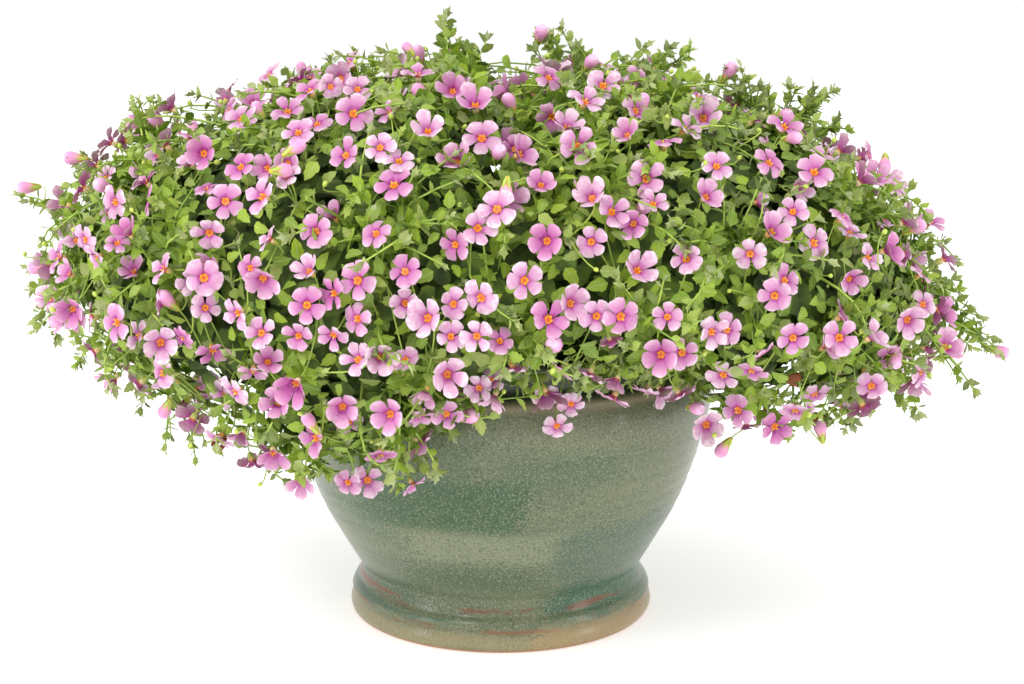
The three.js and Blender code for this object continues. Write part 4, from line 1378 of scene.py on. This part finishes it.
def clump_tree(name, material):
    """Old leaves that lie all over a clump, each turned at random."""
    tree, given = new_tree(name, {"Patterns": "Collection", "Density": "Float", "Size": "Float",
                                  "Seed": "Int"})
    spots = node(tree, "GeometryNodeDistributePointsOnFaces", Mesh=given["Geometry"],
                 Density=given["Density"], Seed=given["Seed"])
    patterns = node(tree, "GeometryNodeCollectionInfo", Collection=given["Patterns"],
                    Separate_Children=True, Reset_Children=True)
    lean = node(tree, "FunctionNodeRandomValue", {"data_type": "FLOAT_VECTOR"}, Seed=given["Seed"])
    lean.inputs[0].default_value = (-CLUMP_LEAN, -CLUMP_LEAN, -math.pi)
    lean.inputs[1].default_value = (CLUMP_LEAN, CLUMP_LEAN, math.pi)
    turn = node(tree, "FunctionNodeRotateRotation", {"rotation_space": "LOCAL"},
                Rotation=spots.outputs["Rotation"], Rotate_By=lean.outputs[0])
    # Always the plain leaf. With nothing linked, the index would be each point's own number
    pick = node(tree, "FunctionNodeRandomValue", {"data_type": "INT"}, Seed=given["Seed"])
    pick.inputs[4].default_value = PLAIN_LEAF
    pick.inputs[5].default_value = PLAIN_LEAF
    copies = node(tree, "GeometryNodeInstanceOnPoints", Points=spots.outputs[0],
                  Instance=patterns.outputs[0], Pick_Instance=True, Instance_Index=pick.outputs[2],
                  Rotation=turn.outputs[0], Scale=given["Size"])
    both = node(tree, "GeometryNodeJoinGeometry")
    fill(tree, both.inputs[0], copies.outputs[0])
    fill(tree, both.inputs[0], given["Geometry"])
    faces = node(tree, "GeometryNodeRealizeInstances", Geometry=both.outputs[0])
    done = node(tree, "GeometryNodeSetMaterial", Geometry=faces.outputs[0], Material=material)
    node(tree, "NodeGroupOutput", Geometry=done.outputs[0])
    return tree


leaf_tree = copies_tree("leaves on points", [LEAF])
petal_tree = copies_tree("blooms on points", [PETAL, ANTHER, STEM, TUBE_SKIN])
bud_tree = copies_tree("buds on points", [BUD_SKIN, ANTHER, STEM])
stem_tree = tubes_tree("stems on paths", STEM)
inner_tree = copies_tree("inner leaves on points", [OLD_LEAF_PAINTED_SHADE])
clumps_tree = clump_tree("old leaves on clumps", OLD_LEAF_PAINTED_SHADE)

total = 0
for group in GROUPS:
    members = [shoot for shoot in shoots if shoot["group"] == group]
    leaves = made_plain(cloud_object(f"leaves_{group}", clouds["leaf"][group]), leaf_tree,
                        Patterns=LEAVES, Size=1.0)
    petals = made_plain(cloud_object(f"blooms_{group}", clouds["bloom"][group]), petal_tree,
                        Patterns=BLOOMS, Size=1.0)
    buds = made_plain(cloud_object(f"buds_{group}", clouds["bud"][group]), bud_tree,
                      Patterns=BUDS, Size=1.0)
    stems = made_plain(path_object(f"stems_{group}", paths[group]), stem_tree,
                       Sides=STEM_SIDES, Width=1.0)
    inner = made_plain(cloud_object(f"inner_leaves_{group}", clouds["inner"][group]), inner_tree,
                       Patterns=LEAVES, Size=1.0)
    clumps = made_plain(clump_object(f"clumps_{group}", members), clumps_tree, Patterns=LEAVES,
                        Density=CLUMP_DENSITY, Size=CLUMP_LEAF, Seed=CLUMP_SEED + group)
    for piece, slot in ((leaves, "foliage"), (petals, "petals"), (buds, "petals"),
                        (stems, "foliage"), (inner, "foliage"), (clumps, "foliage")):
        piece.data.calc_loop_triangles()
        count = len(piece.data.loop_triangles)
        total += count
        print(piece.name, count, "triangles")
        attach(piece, "root")
        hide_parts(*[shoot["name"] for shoot in members])
print("plant", total, "triangles")

for patterns in (LEAVES, BLOOMS, BUDS):
    for obj in list(patterns.objects):
        bpy.data.objects.remove(obj)
    bpy.data.collections.remove(patterns)

# %% [markdown]
# ## The pot
#
# The pot was thrown on a wheel, so its outline is one profile turned about the axis. The profile
# is smoothed between the solids' corners and carries the potter's finger rings, and the glaze
# pools, breaks to brown on the ridges and stops just above the bare clay at the foot.

# %% Pot shape
POT_TURNS = 128
OUTER_SPAN = 1.9
INNER_SPAN = 6.0
DRAIN_RADIUS = 5 * MM
DRAIN_RING = 45 * MM
DRAIN_COUNT = 3
DRILL_LENGTH = 0.06

# Outside of the pot from the middle of its foot to its lip, and the inside back down, as radius and
# height in millimetres
OUTSIDE = [(0, 1.0), (60, 1.0), (70, 0.6), (74, 0), (82, 0), (84.5, 1.6), (85.2, 5), (84.2, 8.5),
           (83.6, 11), (84.2, 13), (82.6, 16.5), (80.0, 19), (79.6, 21.5), (79.0, 24), (78.6, 26.5),
           (80.4, 30), (86.2, 40), (93.0, 52), (98.4, 62), (104.2, 76), (108.8, 90), (113.4, 106),
           (116.4, 119), (117, 126), (116.2, 132), (114.8, 137), (114.6, 140), (112.6, 142.2),
           (108.4, 143.8), (107.0, 146.5), (107.3, 150), (109.2, 153), (110, 155.2), (109.6, 157.4),
           (107.6, 158.2)]
INSIDE = [(104.6, 157.6), (103, 155), (100.2, 149), (100.2, 143), (106, 134), (110, 122),
          (104, 98), (97.5, 75), (84, 50), (70, 30), (68, 14), (64, 10), (0, 10)]
RING_PITCH = 7.5 * MM
SLOW_PITCH = 0.0173
RING_DEPTH = 0.16 * MM
RINGS_START = 0.03
RINGS_SPAN = 0.1
FOOT_RADIUS = 0.07


def smoothed(profile, span):
    """Points in metres on a curve through a profile in millimetres, about one span apart."""
    result = []
    last = len(profile) - 1
    for i in range(last):
        near = [profile[max(0, min(last, j))] for j in (i - 1, i, i + 1, i + 2)]
        before, a, b, after = (Vector(corner) for corner in near)
        steps = max(1, round((b - a).length / span))
        for s in range(steps):
            t = s / steps
            curve = 0.5 * ((2 * a) + (b - before) * t + (2 * before - 5 * a + 4 * b - after) * t * t
                           + (3 * a - before - 3 * b + after) * t ** 3)
            result.append(curve * MM)
    return result + [Vector(profile[-1]) * MM]


def finger_rings(height):
    """The shallow rings that fingers leave in the turning clay."""
    turn = 2 * math.pi * height
    rings = math.sin(turn / RING_PITCH) + 0.6 * math.sin(turn / SLOW_PITCH)
    strength = 1 - abs(2 * min(max((height - RINGS_START) / RINGS_SPAN, 0), 1) - 1)
    return RING_DEPTH * rings * strength


def lathe(profile, turns):
    """Points and faces of a profile turned about Z. Points on the axis are shared."""
    points, rows, faces = [], [], []
    for spot in profile:
        if spot.x < 1e-6:
            rows.append([len(points)] * turns)
            points.append(Vector((0, 0, spot.y)))
            continue
        rows.append(list(range(len(points), len(points) + turns)))
        for k in range(turns):
            angle = 2 * math.pi * k / turns
            points.append(Vector((spot.x * math.cos(angle), spot.x * math.sin(angle), spot.y)))
    for low, high in zip(rows, rows[1:]):
        for k in range(turns):
            n = (k + 1) % turns
            faces.append(tuple(dict.fromkeys((low[k], low[n], high[n], high[k]))))
    return points, faces


outer = [Vector((p.x + finger_rings(p.y) * (p.x > FOOT_RADIUS), max(p.y, 0)))
         for p in smoothed(OUTSIDE, OUTER_SPAN)]
pot_points, pot_faces = lathe(outer + smoothed(INSIDE, INNER_SPAN), POT_TURNS)

# The wall wanders a little from the round, but not its foot or the middle of its floor
WOBBLE = 0.5 * MM
WOBBLE_AT = 0.1
STILL_HEIGHT = 3 * MM
STILL_RADIUS = 75 * MM
for point in pot_points:
    sway = noise.noise(Vector((point.x * 9, point.y * 9, point.z * 14)))
    if point.z > STILL_HEIGHT and math.hypot(point.x, point.y) > STILL_RADIUS:
        point.x *= 1 + WOBBLE * sway / WOBBLE_AT
        point.y *= 1 + WOBBLE * sway / WOBBLE_AT
pot = link(mesh_object("pot_glazed", pot_points, pot_faces))

for k in range(DRAIN_COUNT):
    turn = math.radians(30 + 360 * k / DRAIN_COUNT)
    bpy.ops.mesh.primitive_cylinder_add(
        vertices=32, radius=DRAIN_RADIUS, depth=DRILL_LENGTH,
        location=(DRAIN_RING * math.cos(turn), DRAIN_RING * math.sin(turn), 0.0))
    drill = bpy.context.object
    cut = pot.modifiers.new("drain", "BOOLEAN")
    cut.operation = "DIFFERENCE"
    cut.object = drill
    graph = bpy.context.evaluated_depsgraph_get()
    drilled = bpy.data.meshes.new_from_object(pot.evaluated_get(graph), depsgraph=graph)
    pot.modifiers.remove(cut)
    pot.data = drilled
    bpy.data.objects.remove(drill)
print("pot", len(pot.data.polygons), "faces")

# %% Glaze
GLAZE, tree = new_material("sage_glaze")
place = node(tree, "ShaderNodeTexCoord").outputs["Object"]
split = node(tree, "ShaderNodeSeparateXYZ", Vector=place)
wobble = math_node(tree, "SUBTRACT", noise_node(tree, 14, 5, (1, 1, 1.5), 0.6), 0.5)
mottle = math_node(tree, "SUBTRACT", noise_node(tree, 700, 2), 0.5)
waved = math_node(tree, "MULTIPLY_ADD", wobble, 0.009, split.outputs["Z"])
height = math_node(tree, "MULTIPLY_ADD", mottle, 0.014, waved)
ragged = math_node(tree, "MULTIPLY_ADD", mottle, 0.05, split.outputs["X"])
across = math_node(tree, "MULTIPLY_ADD", wobble, 0.05, ragged)


def patch(low, high, left, right, soft):
    """Where the glaze ran thick: a soft-edged patch between two heights and two sides."""
    parts = [between(tree, height, low - soft, low + soft),
             between(tree, height, high + soft, high - soft),
             between(tree, across, left - soft, left + soft),
             between(tree, across, right + soft, right - soft)]
    result = parts[0]
    for part in parts[1:]:
        result = math_node(tree, "MULTIPLY", result, part)
    return result


def band(low, high, soft):
    """A ring of glaze between two heights."""
    return math_node(tree, "MULTIPLY", between(tree, waved, low - soft, low + soft),
                     between(tree, waved, high + soft, high - soft))


def tinted(base, where, share, code):
    """The base with another colour over it in some places, as strong as its share."""
    return mixed(tree, math_node(tree, "MULTIPLY", where, share), base, srgb(code))


# Patches from height to height and from side to side, in metres, with their colour and strength
GLAZE_PATCHES = [
    (0.071, 0.101, -0.075, 0.016, "2C5030", 0.85), (0.098, 0.122, -0.082, -0.012, "445C43", 0.5),
    (0.096, 0.112, 0.000, 0.060, "425C44", 0.5), (0.060, 0.084, -0.110, -0.055, "465F49", 0.5),
    (0.052, 0.070, -0.045, 0.036, "7E8467", 0.65), (0.030, 0.070, 0.034, 0.085, "415A4B", 0.65),
    (0.018, 0.034, 0.030, 0.090, "22553F", 0.8), (0.034, 0.047, -0.046, 0.028, "3E5636", 0.75),
    (0.122, 0.138, 0.040, 0.120, "6A6852", 0.4), (0.020, 0.034, -0.090, -0.040, "3A543D", 0.6),
]
PATCH_SOFTNESS = 0.0035
# Broken bands of brown and teal round the foot, from height to height
FOOT_STREAKS = [(0.0195, 0.0235, "74452C", 0.85), (0.0105, 0.0135, "7E5638", 0.8),
                (0.013, 0.017, "2F5A48", 0.55)]
STREAK_SOFTNESS = 0.001

grain = noise_node(tree, 1150, 2)
coarse = noise_node(tree, 700, 2)
glaze = ramp(tree, noise_node(tree, 9, 4, (1, 1, 3)),
             [(0.3, "58624B"), (0.5, "656C52"), (0.7, "6F7558")])
streaks = between(tree, noise_node(tree, 14, 4, (0.5, 0.5, 3.2)), 0.55, 0.75)
glaze = tinted(glaze, streaks, 0.35, "4E624C")
for low, high, left, right, code, share in GLAZE_PATCHES:
    glaze = tinted(glaze, patch(low, high, left, right, PATCH_SOFTNESS), share, code)
glaze = tinted(glaze, between(tree, grain, 0.5, 0.64), 0.5, "949A80")
glaze = tinted(glaze, between(tree, coarse, 0.48, 0.34), 0.5, "3B4A32")
ridge = band(0.1355, 0.1415, 0.002)
glaze = tinted(glaze, ridge, 0.6, "85765A")
# Painted shade: the hollow of the neck is darkened for the shade that lies in it.
neck = band(0.1425, 0.1515, 0.0015)
glaze = tinted(glaze, neck, 0.8, "2F3F2C")
# Painted highlight: the lip is made lighter for the light that catches its top.
lip = between(tree, height, 0.153, 0.156)
glaze = tinted(glaze, lip, 0.5, "7E7C62")
browns = between(tree, noise_node(tree, 22, 5, (1, 1, 7), 0.65), 0.46, 0.55)
for low, high, code, share in FOOT_STREAKS:
    broken = math_node(tree, "MULTIPLY", band(low, high, STREAK_SOFTNESS), browns)
    glaze = tinted(glaze, broken, share, code)
foot = band(0.001, 0.009, 0.0025)
glaze = tinted(glaze, foot, 0.38, "B29C72")
foot_right = patch(0.001, 0.013, 0.02, 0.09, 0.003)
glaze = tinted(glaze, foot_right, 0.42, "B08C62")
bare = between(tree, split.outputs["Z"], 0.0022, 0.0012)
clay = mixed(tree, bare, glaze, srgb("A0703F"))
relief = math_node(tree, "ADD", math_node(tree, "MULTIPLY", noise_node(tree, 420, 2), 0.6),
                   math_node(tree, "MULTIPLY", coarse, 0.6))
surface(tree, clay, 0.32, relief, 0.2, 0.0007, Specular_IOR_Level=0.28, Coat_Weight=0.22,
        Coat_Roughness=0.12)
pot.data.materials.clear()
pot.data.materials.append(GLAZE)
for polygon in pot.data.polygons:
    polygon.use_smooth = True
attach(pot, "root")
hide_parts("pot")

# %% [markdown]
# ## Potting mix
#
# Peat and bark crumbs fill the pot to just under its lip. A lathe gives the body, and noise lifts
# the top into crumbs, kept away from the wall of the pot.

# %% Potting mix
SOIL_GAP = 0.4  # millimetres to the pot, all round
SOIL_TURNS = 120
TOP_RINGS = 44
CRUMB_HEIGHT = 1.9 * MM
CALM_EDGE = 6 * MM

# Inside of the pot from its floor to the edge of the mix, as radius and height in millimetres
soil_side = [(68, 10.4), (70, 30), (97.5, 75), (110, 122), (100, 145)]
soil_profile = [Vector((0, 10.4)) * MM]
soil_profile += [Vector((radius - SOIL_GAP, height)) * MM for radius, height in soil_side]
for k in range(1, TOP_RINGS + 1):
    radius = (100 - SOIL_GAP) * MM * (1 - k / TOP_RINGS)
    soil_profile.append(Vector((radius, soil_height(radius))))
soil_points, soil_faces = lathe(soil_profile, SOIL_TURNS)
for point in soil_points:
    radius = math.hypot(point.x, point.y)
    if point.z > SOIL_EDGE - 0.1 * MM:
        crumbs = noise.noise(point * 260) + 0.7 * noise.noise(point * 520)
        point.z += CRUMB_HEIGHT * crumbs * min(1, ((100 - SOIL_GAP) * MM - radius) / CALM_EDGE)
soil = link(mesh_object("potting_mix_crumbs", soil_points, soil_faces))
SOIL, tree = new_material("peat_and_bark")
crumb = ramp(tree, noise_node(tree, 190, 4), [(0.35, "1F1710"), (0.55, "3B2B1E"), (0.72, "6A5136")])
surface(tree, crumb, 0.95, noise_node(tree, 420, 4), 0.8, 0.002)
soil.data.materials.append(SOIL)
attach(soil, "root")
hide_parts("potting_mix")
print("potting mix", len(soil.data.polygons), "faces")
